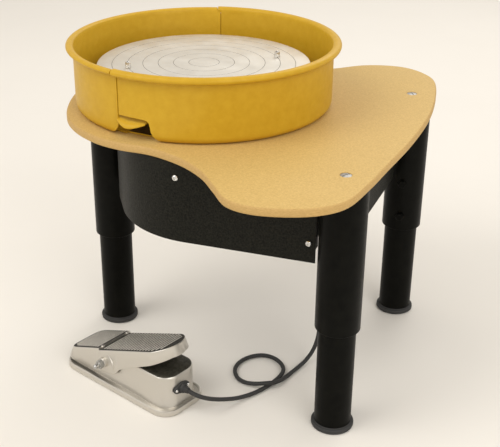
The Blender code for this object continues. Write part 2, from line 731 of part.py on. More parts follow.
def belt_line(extra):
    """The outline of a band round both pulleys, a little outside their rims."""
    large = PULLEY_RADIUS + extra
    small = MOTOR_PULLEY_RADIUS + extra
    lean = math.acos((large - small) / MOTOR_AXIS.length)
    heading = math.atan2(MOTOR_AXIS.y, MOTOR_AXIS.x)
    outline = []
    for index in range(25):
        angle = heading + lean + (math.tau - 2 * lean) * index / 24
        outline.append((large * math.cos(angle), large * math.sin(angle)))
    for index in range(9):
        angle = heading - lean + 2 * lean * index / 8
        outline.append((MOTOR_AXIS.x + small * math.cos(angle), MOTOR_AXIS.y + small * math.sin(angle)))
    return outline


def build_drive(parent):
    centre = tuple(MOTOR_AXIS)
    origin = (*centre, 0.0)
    wheel_pulley = flanged_pulley(PULLEY_RADIUS, SHAFT_RADIUS + GAP, (0.0, 0.0))
    add("wheel_pulley", wheel_pulley, cast_aluminium(), parent)
    motor_pulley = flanged_pulley(MOTOR_PULLEY_RADIUS, MOTOR_SHAFT_RADIUS + GAP, centre)
    add("motor_pulley", motor_pulley, cast_aluminium(), parent, origin)
    shaft = rod(MOTOR_SHAFT_RADIUS, PULLEY_BOTTOM - 3.0 * MM, MOTOR_SHAFT_TOP, 24, centre)
    add("motor_shaft", shaft, bright_steel(), parent, origin)
    low = PULLEY_BOTTOM + BELT_MARGIN
    high = PULLEY_BOTTOM + PULLEY_HEIGHT - BELT_MARGIN
    inner = belt_line(BELT_CLEARANCE)
    outer = belt_line(BELT_CLEARANCE + BELT_THICKNESS)
    rings = [[(x, y, z) for x, y in line]
             for line, z in ((inner, low), (outer, low), (outer, high), (inner, high))]
    add("drive_belt", ring_body(rings), black_rubber(), parent)
    top = FRAME_TOP - BRACKET_THICKNESS - GAP
    hole = MOTOR_SHAFT_RADIUS + 0.4 * MM
    ceiling = MOTOR_SHAFT_TOP + 1.0 * MM
    body = revolve((
        (hole, MOTOR_BOTTOM), (MOTOR_RADIUS - 8.0 * MM, MOTOR_BOTTOM),
        (MOTOR_RADIUS, MOTOR_BOTTOM + 8.0 * MM), (MOTOR_RADIUS, top - 6.0 * MM),
        (MOTOR_RADIUS - 6.0 * MM, top), (0.0, top), (0.0, ceiling), (hole, ceiling),
    ), 24, centre=centre)
    add("motor_body", body, black_paint(), parent)
    plate = rounded_rectangle(MOTOR_AXIS / MM, BRACKET_SIZE, BRACKET_SIZE, 12)
    bracket = prism(plate, FRAME_TOP - BRACKET_THICKNESS, FRAME_TOP)
    add("motor_bracket", bracket, cast_aluminium(), parent)


def build_controller(parent):
    low, high = (Vector(corner) for corner in CONTROL_BOX)
    centre = (low + high) / 2.0
    size = high - low
    outline = rounded_rectangle(centre, size.x, size.y, 6, step=30.0)
    case = add("control_box", prism(outline, CONTROL_BOX_BOTTOM, FRAME_TOP), black_paint(), parent)
    inset = 2.0 * CONTROL_BOX_WALL
    inside = rounded_rectangle(centre, size.x - inset, size.y - inset, 4, step=30.0)
    hollow = prism(inside, CONTROL_BOX_BOTTOM + CONTROL_BOX_WALL * MM, FRAME_TOP + 10.0 * MM)
    cut(case, add("cutter_control_box", hollow, black_paint(), parent))
    top = CONTROL_BOX_BOTTOM - GAP
    tip = top - 21.0 * MM
    gland = revolve((
        (0.0, tip), (4.4 * MM, tip), (6.4 * MM, top - 9.7 * MM), (9.0 * MM, top - 7.7 * MM),
        (9.0 * MM, top), (0.0, top),
    ), 20, centre=CONTROL_GLAND)
    add("controller_gland", gland, black_rubber(), parent)


# ================================================================ splash pan
def pan_profile():
    """Cross-section from the inner collar along the floor and up the wall to the rolled rim."""
    floor = PAN_BOTTOM
    outer = PAN_WALL_RADIUS
    corner = PAN_CORNER_RADIUS
    inner_corner = corner - PAN_WALL
    bead_height = PAN_RIM_TOP - PAN_RIM_RISE
    profile = [(PAN_INNER_RADIUS, floor + PAN_INNER_HEIGHT), (PAN_INNER_RADIUS, floor)]
    for angle in (-90, -60, -30, 0):
        turn = math.radians(angle)
        profile.append((outer - corner + corner * math.cos(turn), floor + corner + corner * math.sin(turn)))
    profile.append((outer, bead_height - 5.0 * MM))
    for angle in (-40, 0, 35, 70, 110, 145, 180):
        turn = math.radians(angle)
        profile.append((PAN_RIM_CENTRE_RADIUS + PAN_RIM_BEAD * math.cos(turn),
                        bead_height + PAN_RIM_RISE * math.sin(turn)))
    for angle in (0, -30, -60, -90):
        turn = math.radians(angle)
        profile.append((outer - corner + inner_corner * math.cos(turn),
                        floor + corner + inner_corner * math.sin(turn)))
    profile.append((PAN_INNER_RADIUS + PAN_WALL, floor + PAN_WALL))
    profile.append((PAN_INNER_RADIUS + PAN_WALL, floor + PAN_INNER_HEIGHT))
    return profile


def pan_lip():
    """The curled lip of the left half that runs on under the right half's raised edge."""
    first = FRONT_SEAM - 2.0
    steps = 8
    root = PAN_WALL_RADIUS - 11.0 * MM
    sections = []
    for index in range(steps + 1):
        part = index / steps
        angle = math.radians(first + (LIP_END - first) * part)
        reach = PAN_WALL_RADIUS - 1.0 * MM + 10.0 * MM * math.sin(math.pi * min(1.0, part * 1.05))
        dip = LIP_BOTTOM - 2.0 * MM * math.sin(math.pi * part)
        corners = ((root, LIP_BOTTOM), (reach, dip), (reach, dip + LIP_THICKNESS),
                   (root, LIP_BOTTOM + LIP_THICKNESS))
        sections.append([(r * math.cos(angle), r * math.sin(angle), z) for r, z in corners])
    return stack(sections)


def build_pan(parent):
    profile = pan_profile()
    body = revolve(profile, 36, FRONT_SEAM + SEAM_GAP, BACK_SEAM - SEAM_GAP)
    right = add("splash_pan_right", body, pan_plastic(), parent)
    inner = PAN_WALL_RADIUS - 19.0 * MM
    outer = PAN_WALL_RADIUS + 25.0 * MM
    below = TABLE_TOP - 5.0 * MM
    notch = revolve(((inner, below), (outer, below), (outer, NOTCH_TOP), (inner, NOTCH_TOP)), 6,
                    FRONT_SEAM - 3.0, NOTCH_END)
    cut(right, add("cutter_notch", notch, pan_plastic(), parent))
    left = add("splash_pan_left", revolve(profile, 26, BACK_SEAM, FRONT_SEAM + 360.0), pan_plastic(),
               parent)
    cut(left, add("cutter_lip", pan_lip(), pan_plastic(), parent), "UNION")


# ================================================================ foot pedal
def tread_side(inset=0.0):
    """Half outline of the tread in millimetres, heel to toe: (along, half width)."""
    half = TREAD_HALF_WIDTH - inset
    heel = TREAD_HEEL + inset
    side = []
    for angle in (0, 30, 60, 90):
        turn = math.radians(angle)
        side.append((heel + TREAD_HEEL_ROUND * (1 - math.cos(turn)),
                     half - TREAD_HEEL_ROUND * (1 - math.sin(turn))))
    side += [(along, half) for along in (-60, TREAD_STEP - 1, TREAD_STEP + 1, -29, -8, 8, 30, 48)]
    radius = TREAD_TOE_RADIUS - inset
    for angle in (80, 64, 48, 32, 16, 0):
        turn = math.radians(angle)
        side.append((TREAD_TOE_CENTRE + radius * math.cos(turn), max(0.9, radius * math.sin(turn))))
    return side


def tread_top(along):
    """Height of the tread: a heel part and a toe part with a small step between them."""
    if along < TREAD_STEP:
        return 61.0 + 0.38 * (along - TREAD_STEP)
    return 57.0 + 0.395 * (along - TREAD_STEP)


SKIRT_KNOTS = ((-119.0, 13.0), (-60.0, 13.0), (-29.0, 22.0), (0.0, 30.0), (10.0, 43.0), (47.0, 64.0),
               (110.0, 97.0))


def skirt_edge(along):
    """Height of the tread skirt's lower edge."""
    return between(SKIRT_KNOTS, along)


def flared(side, spread):
    """A half outline pushed outwards, by the spread at its widest."""
    heel = side[0][0]
    pushed = []
    for along, half in side:
        share = min(1.0, half / TREAD_HALF_WIDTH)
        end = max(0.0, along - TREAD_TOE_CENTRE) / TREAD_TOE_RADIUS
        if along == heel:
            end = -1.0
        pushed.append((along + spread * end, half + spread * share))
    return pushed


def mirrored_ring(side, height):
    """A ring from a half outline: the near side heel to toe, then the far side back."""
    near = [(along * MM, -half * MM, height(along) * MM) for along, half in side]
    return near + [(x, -y, z) for x, y, z in reversed(near)]


def build_tread(parent, pivot):
    outer = tread_side()
    inner = tread_side(TREAD_WALL)
    shell = mirrored_stack([
        mirrored_ring(outer, tread_top),
        mirrored_ring(flared(outer, TREAD_SPREAD), skirt_edge),
        mirrored_ring(flared(inner, TREAD_SPREAD), skirt_edge),
        mirrored_ring(inner, lambda along: tread_top(along) - TREAD_ROOF),
    ])
    tread = add("pedal_tread", shell, cast_aluminium(), parent, pivot, sharp=30.0)
    for name, near, far in (("near", -44.1, -38.5), ("far", 38.5, 45.7)):
        boss = moved(turned_y(rod(BOSS_RADIUS, near * MM, far * MM)), pivot)
        cut(tread, add(f"cutter_boss_{name}", boss, cast_aluminium(), parent, pivot), "UNION")
    drill = moved(turned_y(rod(BOLT_HOLE_RADIUS, -80.0 * MM, 80.0 * MM)), pivot)
    hole = add("cutter_pivot", drill, cast_aluminium(), parent, pivot)
    cut(tread, hole)
    return hole


def build_pedal(parent):
    outline = rounded_rectangle((0.0, 0.0), PEDAL_LENGTH, PEDAL_WIDTH, 30)
    base = rounded_slab(outline, 0.0, PEDAL_BASE_HEIGHT, 3.0 * MM)
    add("pedal_base", base, cast_aluminium(), parent)
    hole = build_tread(parent, PEDAL_PIVOT)
    build_pedal_housing(parent, hole)
    build_pedal_pivot(parent)
    build_pedal_sensor(parent)
    build_pedal_gland(parent)


def housing_side(inset):
    """Half outline of the housing in millimetres, heel to toe: (along, half width)."""
    half = HOUSING_HALF_WIDTH - inset
    slim = half - HOUSING_NECK
    heel_round = 12.0 - inset
    toe_round = 26.0 - inset
    side = []
    for angle in (0, 45, 90):
        turn = math.radians(angle)
        side.append((-112.0 + inset + heel_round * (1 - math.cos(turn)),
                     slim - heel_round * (1 - math.sin(turn))))
    side += [(-29, slim), (-10, slim), (20, slim), (45, slim + 0.2 * HOUSING_NECK), (72, half)]
    for angle in (90, 68, 45, 22, 0):
        turn = math.radians(angle)
        side.append((116.0 - inset - toe_round * (1 - math.cos(turn)),
                     half - toe_round * (1 - math.sin(turn))))
    return side


def housing_top(along):
    """A low wedge under the tread that levels out towards the toe."""
    return between(((-112.0, 22.0), (-29.0, 48.0), (45.0, 66.0), (120.0, 66.0)), along)


def build_pedal_housing(parent, pivot_hole):
    floor = (PEDAL_BASE_HEIGHT + GAP) / MM
    outer = housing_side(0.0)
    inner = housing_side(HOUSING_WALL)
    shell = mirrored_stack([
        mirrored_ring(housing_side(HOUSING_EDGE), housing_top),
        mirrored_ring(outer, lambda along: housing_top(along) - HOUSING_EDGE),
        mirrored_ring(outer, lambda along: floor),
        mirrored_ring(inner, lambda along: floor),
        mirrored_ring(inner, lambda along: housing_top(along) - 6.0),
    ])
    housing = add("pedal_housing", shell, cast_aluminium(), parent, sharp=35.0)
    cut(housing, pivot_hole)
    slot = block((34, 8, 40), (9, 0, 68))
    cut(housing, add("cutter_sector_slot", slot, cast_aluminium(), parent))
    socket = moved(turned_x(rod(6.0 * MM, -20.0 * MM, 20.0 * MM)), PEDAL_GLAND)
    cut(housing, add("cutter_pedal_gland", socket, cast_aluminium(), parent))


def build_pedal_pivot(parent):
    """A bolt through housing and tread, its head on the far side and a nut on the near side."""
    shank = BOLT_RADIUS
    far = 46.0 * MM
    near = -60.0 * MM
    head = 7.5 * MM
    bolt = revolve((
        (0.0, near), (shank - 1.4 * MM, near), (shank, near + 2.0 * MM), (shank, far), (head, far),
        (head, far + 4.5 * MM), (0.0, far + 4.5 * MM),
    ), 20)
    add("pedal_pivot_bolt", moved(turned_y(bolt), PEDAL_PIVOT), bright_steel(), parent, PEDAL_PIVOT)
    bore = 5.0 * MM                 # a hexagon's flats are nearer its axis than its corners
    outer = 7.6 * MM
    low = -51.0 * MM
    high = -44.4 * MM
    nut = revolve(((bore, low), (outer, low), (outer, high), (bore, high)), 6)
    add("pedal_pivot_nut", moved(turned_y(nut), PEDAL_PIVOT), bright_steel(), parent, PEDAL_PIVOT)


def gear_outline(radius, teeth, centre, first=0.0, last=360.0):
    """Points round a toothed rim, in the plane of the pedal's side, as (along, height)."""
    tooth_shape = ((0.05, -TOOTH_DEPTH), (0.30, -TOOTH_DEPTH), (0.45, TOOTH_DEPTH), (0.90, TOOTH_DEPTH))
    outline = []
    for tooth in range(teeth):
        for share, reach in tooth_shape:
            angle = math.radians(first + (last - first) * (tooth + share) / teeth)
            outline.append((centre[0] + (radius + reach) * math.cos(angle),
                            centre[1] + (radius + reach) * math.sin(angle)))
    return outline


def side_plate(outline, thickness):
    """A plate in the plane of the pedal's side, on an (along, height) outline."""
    half = thickness / 2.0
    return stack([[(x, y, z) for x, z in outline] for y in (-half, half)])


def build_pedal_sensor(parent):
    """Toothed sector on the tread, pinion and potentiometer inside the housing."""
    pivot = (PEDAL_PIVOT.x, PEDAL_PIVOT.z)
    rim = gear_outline(SECTOR_RADIUS - TOOTH_CLEARANCE, 8, pivot, -14.0, 14.0)
    arm = [(12.0, 56.0), (12.0, 65.5), (-4.0, 63.5), (-4.0, 36.0), (6.0, 30.0)]
    outline = rim + [(along * MM, height * MM) for along, height in arm]
    add("pedal_sector", side_plate(outline, 4.0 * MM), brass(), parent, PEDAL_PIVOT)
    axis = PEDAL_PIVOT + Vector((SECTOR_RADIUS + PINION_RADIUS, 0.0, 0.0))
    teeth = gear_outline(PINION_RADIUS - TOOTH_CLEARANCE, 8, (axis.x, axis.z))
    add("pedal_pinion", side_plate(teeth, 6.0 * MM), brass(), parent, axis)
    near, far, radius = (value * MM for value in (4.0, 18.0, 11.0))
    sensor = revolve(((0.0, near), (radius, near), (radius, far), (0.0, far)), 24)
    add("pedal_potentiometer", moved(turned_y(sensor), axis), black_plastic(), parent, axis)


def build_pedal_gland(parent):
    """Clamp flange on the toe face and a tapered sleeve that the cord leaves."""
    inside = -10.0 * MM
    flange = 4.0 * MM
    tip = GLAND_TIP - PEDAL_GLAND.x
    sleeve = revolve((
        (0.0, inside), (5.6 * MM, inside), (5.6 * MM, GAP), (10.5 * MM, GAP), (10.5 * MM, flange),
        (7.0 * MM, flange), (6.2 * MM, flange + 6.0 * MM), (4.4 * MM, tip), (0.0, tip),
    ), 20)
    add("pedal_gland", moved(turned_x(sleeve), PEDAL_GLAND), black_rubber(), parent)


def build_cord(parent):
    route = smooth_path(CORD_ROUTE, 2)
    curve = bpy.data.curves.new("pedal_cord", "CURVE")
    curve.dimensions = "3D"
    curve.bevel_depth = CORD_RADIUS
    curve.bevel_resolution = 2
    curve.use_fill_caps = True
    spline = curve.splines.new("POLY")
    spline.points.add(len(route) - 1)
    for point, place in zip(spline.points, route):
        point.co = (*(place * MM), 1.0)
    curve.materials.append(black_rubber())
    cord = bpy.data.objects.new("pedal_cord", curve)
    cord.parent = parent
    bpy.context.scene.collection.objects.link(cord)


def main():
    clear_scene()
    assembly = empty("assembly", (-FOOTPRINT_CENTRE_X, 0.0, 0.0))
    build_table(assembly)
    build_skirts(assembly)
    for name in LEGS:
        build_leg(name, assembly)
    build_wheel(assembly)
    build_bearings(assembly)
    build_drive(assembly)
    build_controller(assembly)
    build_pan(assembly)
    pedal = empty("pedal_frame", PEDAL_PLACE, PEDAL_TURN, assembly)
    build_pedal(pedal)
    build_cord(assembly)


main()
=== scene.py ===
"""Looks of an electric pottery wheel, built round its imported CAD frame.

Metres, +Z up, in the CAD's own frame. Each piece has a function of its own, rides on
its CAD body and, where its shape is finer, stands for the CAD node.
"""

import json
import math

import bmesh
import bpy
from mathutils import Matrix, Vector


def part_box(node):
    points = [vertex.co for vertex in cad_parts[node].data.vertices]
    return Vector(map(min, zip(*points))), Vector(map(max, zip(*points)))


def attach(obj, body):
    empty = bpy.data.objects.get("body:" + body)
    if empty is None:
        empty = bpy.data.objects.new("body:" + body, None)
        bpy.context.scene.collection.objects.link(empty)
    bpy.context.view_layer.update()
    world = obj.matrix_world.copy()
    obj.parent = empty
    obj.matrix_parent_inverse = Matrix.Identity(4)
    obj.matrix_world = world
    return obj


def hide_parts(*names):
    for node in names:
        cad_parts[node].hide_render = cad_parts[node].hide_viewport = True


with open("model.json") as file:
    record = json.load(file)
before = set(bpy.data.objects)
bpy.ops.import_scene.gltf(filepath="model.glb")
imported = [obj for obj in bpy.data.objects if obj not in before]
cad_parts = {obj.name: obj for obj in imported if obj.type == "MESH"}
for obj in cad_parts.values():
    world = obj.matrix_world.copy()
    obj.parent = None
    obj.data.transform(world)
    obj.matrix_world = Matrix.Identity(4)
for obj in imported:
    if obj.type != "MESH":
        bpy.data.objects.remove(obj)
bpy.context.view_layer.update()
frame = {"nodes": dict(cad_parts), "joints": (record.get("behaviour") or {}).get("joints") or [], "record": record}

MM = 0.001
INCH = 25.4 * MM


def middle(node):
    low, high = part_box(node)
    return (low + high) / 2.0


# ---------------------------------------------------------------- places read from the frame
AXIS = Vector((*middle("wheel_shaft").xy, 0.0))
HEAD_LOW, HEAD_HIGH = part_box("wheel_head")
HEAD_RADIUS = HEAD_HIGH.x - AXIS.x
HEAD_TOP = HEAD_HIGH.z
BOARD_LOW, BOARD_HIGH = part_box("table_top")
TABLE_TOP = BOARD_HIGH.z
PAN_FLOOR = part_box("splash_pan_right")[0].z
PAN_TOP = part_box("splash_pan_right")[1].z
LEG_NAMES = ("left", "front", "back")
JOINTS = {joint["name"]: joint for joint in frame["joints"]}
PEDAL_PIVOT = Vector(JOINTS["pedal_tilt"]["pos_m"])
PEDAL_ACROSS = Vector(JOINTS["pedal_tilt"]["axis"])
PEDAL_ALONG = Vector((PEDAL_ACROSS.y, -PEDAL_ACROSS.x, 0.0))

# ---------------------------------------------------------------- splash pan
WALL_RADIUS = 214.5 * MM
WALL = 2.5 * MM
CORNER = 12.0 * MM
RIM_RADIUS = 219.5 * MM
RIM_RIGHT = Vector((7.4 * MM, 5.6 * MM))     # half the rolled rim's width and height
RIM_LEFT = Vector((6.2 * MM, 3.9 * MM))      # the left half's is slimmer and lower
RIM_HEIGHT = PAN_TOP - RIM_RIGHT.y
COLLAR_RADIUS = 58.0 * MM
COLLAR_HEIGHT = 26.0 * MM
FRONT_SEAM = -98.2                  # degrees round the wheel's axis
BACK_SEAM = 111.0
SEAM_GAP = 0.3
RIM_LAP_FRONT = 0.3                 # how far the right rim runs past the front seam, degrees
RIM_LAP_BACK = 1.3                  # and past the back seam
RIM_GAP = 0.45                      # the gap between the two rims' ends

# ---------------------------------------------------------------- pedal, in millimetres
TREAD_HALF = 37.0
TREAD_HEEL = -119.0
TREAD_TOE_CENTRE = 70.0
TREAD_TOE_RADIUS = 38.5
TREAD_STEP = -42.5
HEEL_TOP, HEEL_SLOPE = 61.0, 0.38   # height at the step and rise along the tread
TOE_TOP, TOE_SLOPE = 57.0, 0.395
TREAD_FLARE = 5.0
PIVOT_ALONG = -29.0
PIVOT_HEIGHT = 40.0
SKIRT_KNOTS = ((-119.0, 13.0), (-60.0, 13.0), (-29.0, 22.0), (0.0, 30.0), (10.0, 43.0), (47.0, 64.0),
               (110.0, 97.0))

CORD_ROUTE = (                      # metres from the wheel's axis, pedal gland to controller gland
    (0.1203, -0.2716, 0.0400), (0.131, -0.274, 0.0394), (0.143, -0.270, 0.035),
    (0.154, -0.257, 0.027), (0.165, -0.237, 0.0175), (0.176, -0.214, 0.009),
    (0.187, -0.191, 0.0046), (0.197, -0.169, 0.0038), (0.204, -0.146, 0.0038),
    (0.208, -0.122, 0.0038), (0.206, -0.100, 0.0038), (0.194, -0.083, 0.0038),
    (0.175, -0.073, 0.0038), (0.155, -0.074, 0.0038), (0.138, -0.088, 0.0038),
    (0.129, -0.110, 0.0038), (0.131, -0.134, 0.0038), (0.145, -0.154, 0.0038),
    (0.164, -0.163, 0.005), (0.184, -0.164, 0.009), (0.201, -0.158, 0.0118),
    (0.212, -0.145, 0.0095), (0.217, -0.124, 0.005), (0.221, -0.098, 0.0038),
    (0.225, -0.074, 0.0038), (0.229, -0.057, 0.007), (0.235, -0.046, 0.019),
    (0.241, -0.043, 0.038), (0.246, -0.046, 0.062), (0.250, -0.053, 0.092),
    (0.254, -0.062, 0.128), (0.257, -0.071, 0.168), (0.258, -0.077, 0.212),
    (0.258, -0.078, 0.248), (0.258, -0.078, 0.2784),
)

BOARD_OUTLINE = (                   # millimetres from the wheel's axis, anticlockwise
    (-226, 0), (-218, -64), (-191, -125), (-157, -174), (-115, -208), (-64, -230),
    (-16, -236), (30, -232), (70, -238), (110, -252), (150, -276), (186, -309),
    (222, -341), (262, -347), (308, -332), (346, -306), (369, -266), (373, -195),
    (372, -120), (370, -10), (360, 105), (340, 205), (312, 290), (280, 328),
    (240, 347), (200, 343), (160, 322), (122, 279), (84, 247), (44, 234),
    (0, 238), (-60, 230), (-112, 208), (-157, 172), (-192, 124), (-218, 64),
)


# ================================================================ camera, light, floor
def photo_camera():
    """The photograph's view: heading and pitch in degrees, place in metres."""
    heading, pitch, roll = (math.radians(angle) for angle in (27.5, 25.566, -0.292))
    data = bpy.data.cameras.new("camera")
    data.lens = 71.03
    data.sensor_width = 36.0
    data.shift_x = 0.0283
    data.shift_y = -0.0057
    data.clip_end = 100.0
    camera = bpy.data.objects.new("camera", data)
    turn = Matrix.Rotation(heading, 4, "Z") @ Matrix.Rotation(math.radians(90.0) - pitch, 4, "X")
    place = Matrix.Translation((0.7117, -1.3889, 0.9618))
    camera.matrix_world = place @ turn @ Matrix.Rotation(-roll, 4, "Z")
    bpy.context.scene.collection.objects.link(camera)
    bpy.context.scene.camera = camera


def area_light(name, place, target, size, power, colour):
    data = bpy.data.lights.new(name, "AREA")
    data.shape = "DISK"
    data.size = size
    data.energy = power
    data.color = colour
    light = bpy.data.objects.new(name, data)
    light.location = place
    light.rotation_euler = (Vector(target) - Vector(place)).to_track_quat("-Z", "Y").to_euler()
    bpy.context.scene.collection.objects.link(light)


def studio():
    world = bpy.data.worlds.new("studio")
    world.use_nodes = True
    background = world.node_tree.nodes["Background"]
    background.inputs["Color"].default_value = (0.95, 0.905, 0.84, 1.0)
    background.inputs["Strength"].default_value = 0.78
    bpy.context.scene.world = world
    bpy.context.scene.view_settings.view_transform = "Standard"
    area_light("key", (-1.2, -1.7, 2.6), (0.0, 0.0, 0.2), 2.0, 34.0, (1.0, 0.975, 0.93))
    area_light("fill", (2.0, -1.2, 1.9), (0.1, -0.2, 0.2), 2.0, 24.0, (1.0, 0.98, 0.95))
    area_light("back", (0.0, 2.4, 2.4), (0.0, 0.2, 0.3), 2.0, 22.0, (1.0, 0.98, 0.95))


def floor():
    mesh = bpy.data.meshes.new("floor")
    half = 8.0
    corners = [(-half, -half, -MM / 2), (half, -half, -MM / 2), (half, half, -MM / 2), (-half, half, -MM / 2)]
    mesh.from_pydata(corners, [], [(0, 1, 2, 3)])
    mesh.materials.append(paper())
    ground = bpy.data.objects.new("floor", mesh)
    bpy.context.scene.collection.objects.link(ground)


# ================================================================ materials
def coordinates(tree, stretch=(1.0, 1.0, 1.0), shift=(0.0, 0.0, 0.0)):
    place = tree.nodes.new("ShaderNodeTexCoord")
    mapping = tree.nodes.new("ShaderNodeMapping")
    mapping.inputs["Scale"].default_value = stretch
    mapping.inputs["Location"].default_value = shift
    tree.links.new(place.outputs["Object"], mapping.inputs["Vector"])
    return mapping.outputs["Vector"]


def noise(tree, scale, detail=4.0, stretch=(1.0, 1.0, 1.0)):
    texture = tree.nodes.new("ShaderNodeTexNoise")
    texture.inputs["Scale"].default_value = scale
    texture.inputs["Detail"].default_value = detail
    texture.inputs["Roughness"].default_value = 0.6
    tree.links.new(coordinates(tree, stretch), texture.inputs["Vector"])
    return texture.outputs["Fac"]


def ramp(tree, value, stops):
    """A colour ramp through (position, colour) stops."""
    node = tree.nodes.new("ShaderNodeValToRGB")
    points = node.color_ramp.elements
    while len(points) < len(stops):
        points.new(0.5)
    for point, (position, colour) in zip(points, stops):
        point.position = position
        point.color = (*colour, 1.0)
    tree.links.new(value, node.inputs["Fac"])
    return node.outputs["Color"]


def spread(tree, value, low, high):
    """The value's middle band stretched to run from low to high."""
    node = tree.nodes.new("ShaderNodeMapRange")
    node.inputs["From Min"].default_value = 0.3
    node.inputs["From Max"].default_value = 0.7
    node.inputs["To Min"].default_value = low
    node.inputs["To Max"].default_value = high
    tree.links.new(value, node.inputs["Value"])
    return node.outputs["Result"]


def bump(tree, height, distance, below=None):
    node = tree.nodes.new("ShaderNodeBump")
    node.inputs["Strength"].default_value = 1.0
    node.inputs["Distance"].default_value = distance
    tree.links.new(height, node.inputs["Height"])
    if below:
        tree.links.new(below, node.inputs["Normal"])
    return node.outputs["Normal"]


def surface(name, dark, light, rough, metallic=0.0, specular=0.5, patches=25.0, grains=(),
            stretch=(1.0, 1.0, 1.0)):
    """A Principled material with soft colour and gloss variation and bumped grain.

    grains are (noise scale, depth) pairs, coarse first.
    """
    found = bpy.data.materials.get(name)
    if found:
        return found
    made = bpy.data.materials.new(name)
    made.use_nodes = True
    tree = made.node_tree
    shader = tree.nodes["Principled BSDF"]
    shader.inputs["Metallic"].default_value = metallic
    shader.inputs["Specular IOR Level"].default_value = specular
    tone = noise(tree, patches, 6.0, stretch)
    tree.links.new(ramp(tree, tone, ((0.32, dark), (0.68, light))), shader.inputs["Base Color"])
    gloss = spread(tree, noise(tree, patches * 2.3, 3.0, stretch), *rough)
    tree.links.new(gloss, shader.inputs["Roughness"])
    normal = None
    for scale, depth in grains:
        normal = bump(tree, noise(tree, scale, 3.0, stretch), depth, normal)
    if normal:
        tree.links.new(normal, shader.inputs["Normal"])
    return made


def paper():
    return surface("paper_floor", (0.845, 0.815, 0.765), (0.865, 0.835, 0.785), (0.85, 0.95),
                   specular=0.1, patches=1.5)


def fibreboard():
    """Tan board: fine light and dark fibres over faint clouds."""
    return surface("fibreboard", (0.525, 0.348, 0.112), (0.66, 0.458, 0.165), (0.5, 0.62),
                   specular=0.25, patches=420.0, grains=((160.0, 0.00005), (900.0, 0.00004)))


def board_edge():
    """The routed edge: the board's softer core, with its fibres lying flat."""
    return surface("board_edge", (0.47, 0.300, 0.105), (0.62, 0.410, 0.160), (0.55, 0.7),
                   specular=0.2, patches=260.0, grains=((700.0, 0.00012),), stretch=(1.0, 1.0, 5.0))


def crinkle_paint():
    return surface("crinkle_black", (0.003, 0.003, 0.0025), (0.018, 0.018, 0.013), (0.4, 0.55),
                   specular=0.10, patches=380.0, grains=((330.0, 0.0006), (900.0, 0.0003)))


def satin_paint():
    return surface("satin_black", (0.0030, 0.0030, 0.0024), (0.0055, 0.0055, 0.0042), (0.3, 0.42),
                   specular=0.06, patches=60.0, grains=((500.0, 0.00010),))


def mustard_plastic():
    return surface("mustard_plastic", (0.550, 0.325, 0.016), (0.600, 0.365, 0.024), (0.36, 0.46),
                   specular=0.22, patches=70.0, grains=((120.0, 0.00007), (620.0, 0.00012)))


def painted_shade_plastic():
    """The drain's floor, painted dark brown as shade in the hollow under the drain lip."""
    return surface("painted_shade_plastic", (0.030, 0.018, 0.006), (0.075, 0.045, 0.014), (0.5, 0.65),
                   specular=0.2, patches=150.0, grains=((300.0, 0.0002),))


def cast_metal():
    return surface("cast_aluminium", (0.37, 0.35, 0.31), (0.56, 0.53, 0.475), (0.5, 0.66), 0.55,
                   patches=130.0, grains=((110.0, 0.0003), (640.0, 0.0003)))


def rubbed_metal():
    """The crests of the ribs, kept bright by shoes."""
    return surface("rubbed_aluminium", (0.56, 0.53, 0.48), (0.76, 0.73, 0.67), (0.4, 0.55), 0.5,
                   patches=260.0, grains=((500.0, 0.0003),))


def rib_hollow_metal():
    """The hollows between the ribs, near black."""
    return surface("rib_hollow_aluminium", (0.010, 0.009, 0.007), (0.035, 0.031, 0.024), (0.7, 0.85), 0.0,
                   patches=200.0, grains=((400.0, 0.0003),))


def painted_shade_cast_metal():
    """The housing's top, under the tread: painted near black as shade, and rougher."""
    return surface("painted_shade_aluminium", (0.035, 0.033, 0.024), (0.085, 0.08, 0.062), (0.42, 0.56), 0.4,
                   patches=160.0, grains=((300.0, 0.0005), (900.0, 0.0002)))


def zinc():
    return surface("zinc_plate", (0.62, 0.61, 0.59), (0.80, 0.79, 0.77), (0.20, 0.32), 1.0,
                   patches=240.0, grains=((900.0, 0.00003),))


def dull_zinc():
    return surface("dull_zinc", (0.30, 0.295, 0.28), (0.46, 0.45, 0.43), (0.34, 0.48), 0.9,
                   patches=300.0, grains=((900.0, 0.00004),))


def ground_steel():
    return surface("ground_steel", (0.40, 0.40, 0.39), (0.54, 0.54, 0.53), (0.26, 0.38), 1.0,
                   patches=120.0, grains=((500.0, 0.00004),), stretch=(1.0, 1.0, 12.0))


def iron():
    return surface("cast_iron", (0.05, 0.05, 0.052), (0.11, 0.11, 0.112), (0.5, 0.68), 0.7,
                   patches=90.0, grains=((260.0, 0.0005), (900.0, 0.0002)))


def rubber():
    return surface("rubber", (0.0045, 0.0045, 0.004), (0.009, 0.009, 0.008), (0.42, 0.56),
                   specular=0.12, patches=130.0, grains=((700.0, 0.0001),))


def black_plastic():
    return surface("black_plastic", (0.004, 0.004, 0.004), (0.008, 0.008, 0.008), (0.3, 0.42),
                   specular=0.15, patches=110.0, grains=((1000.0, 0.00008),))


def brass():
    return surface("brass", (0.52, 0.36, 0.13), (0.66, 0.48, 0.19), (0.24, 0.36), 1.0,
                   patches=150.0, grains=((700.0, 0.00004),))


def groove_metal():
    """Dried clay and shadow in the engraved rings."""
    return surface("ring_grooves", (0.20, 0.19, 0.165), (0.33, 0.31, 0.275), (0.55, 0.7), 0.4,
                   patches=300.0, grains=((900.0, 0.00003),))


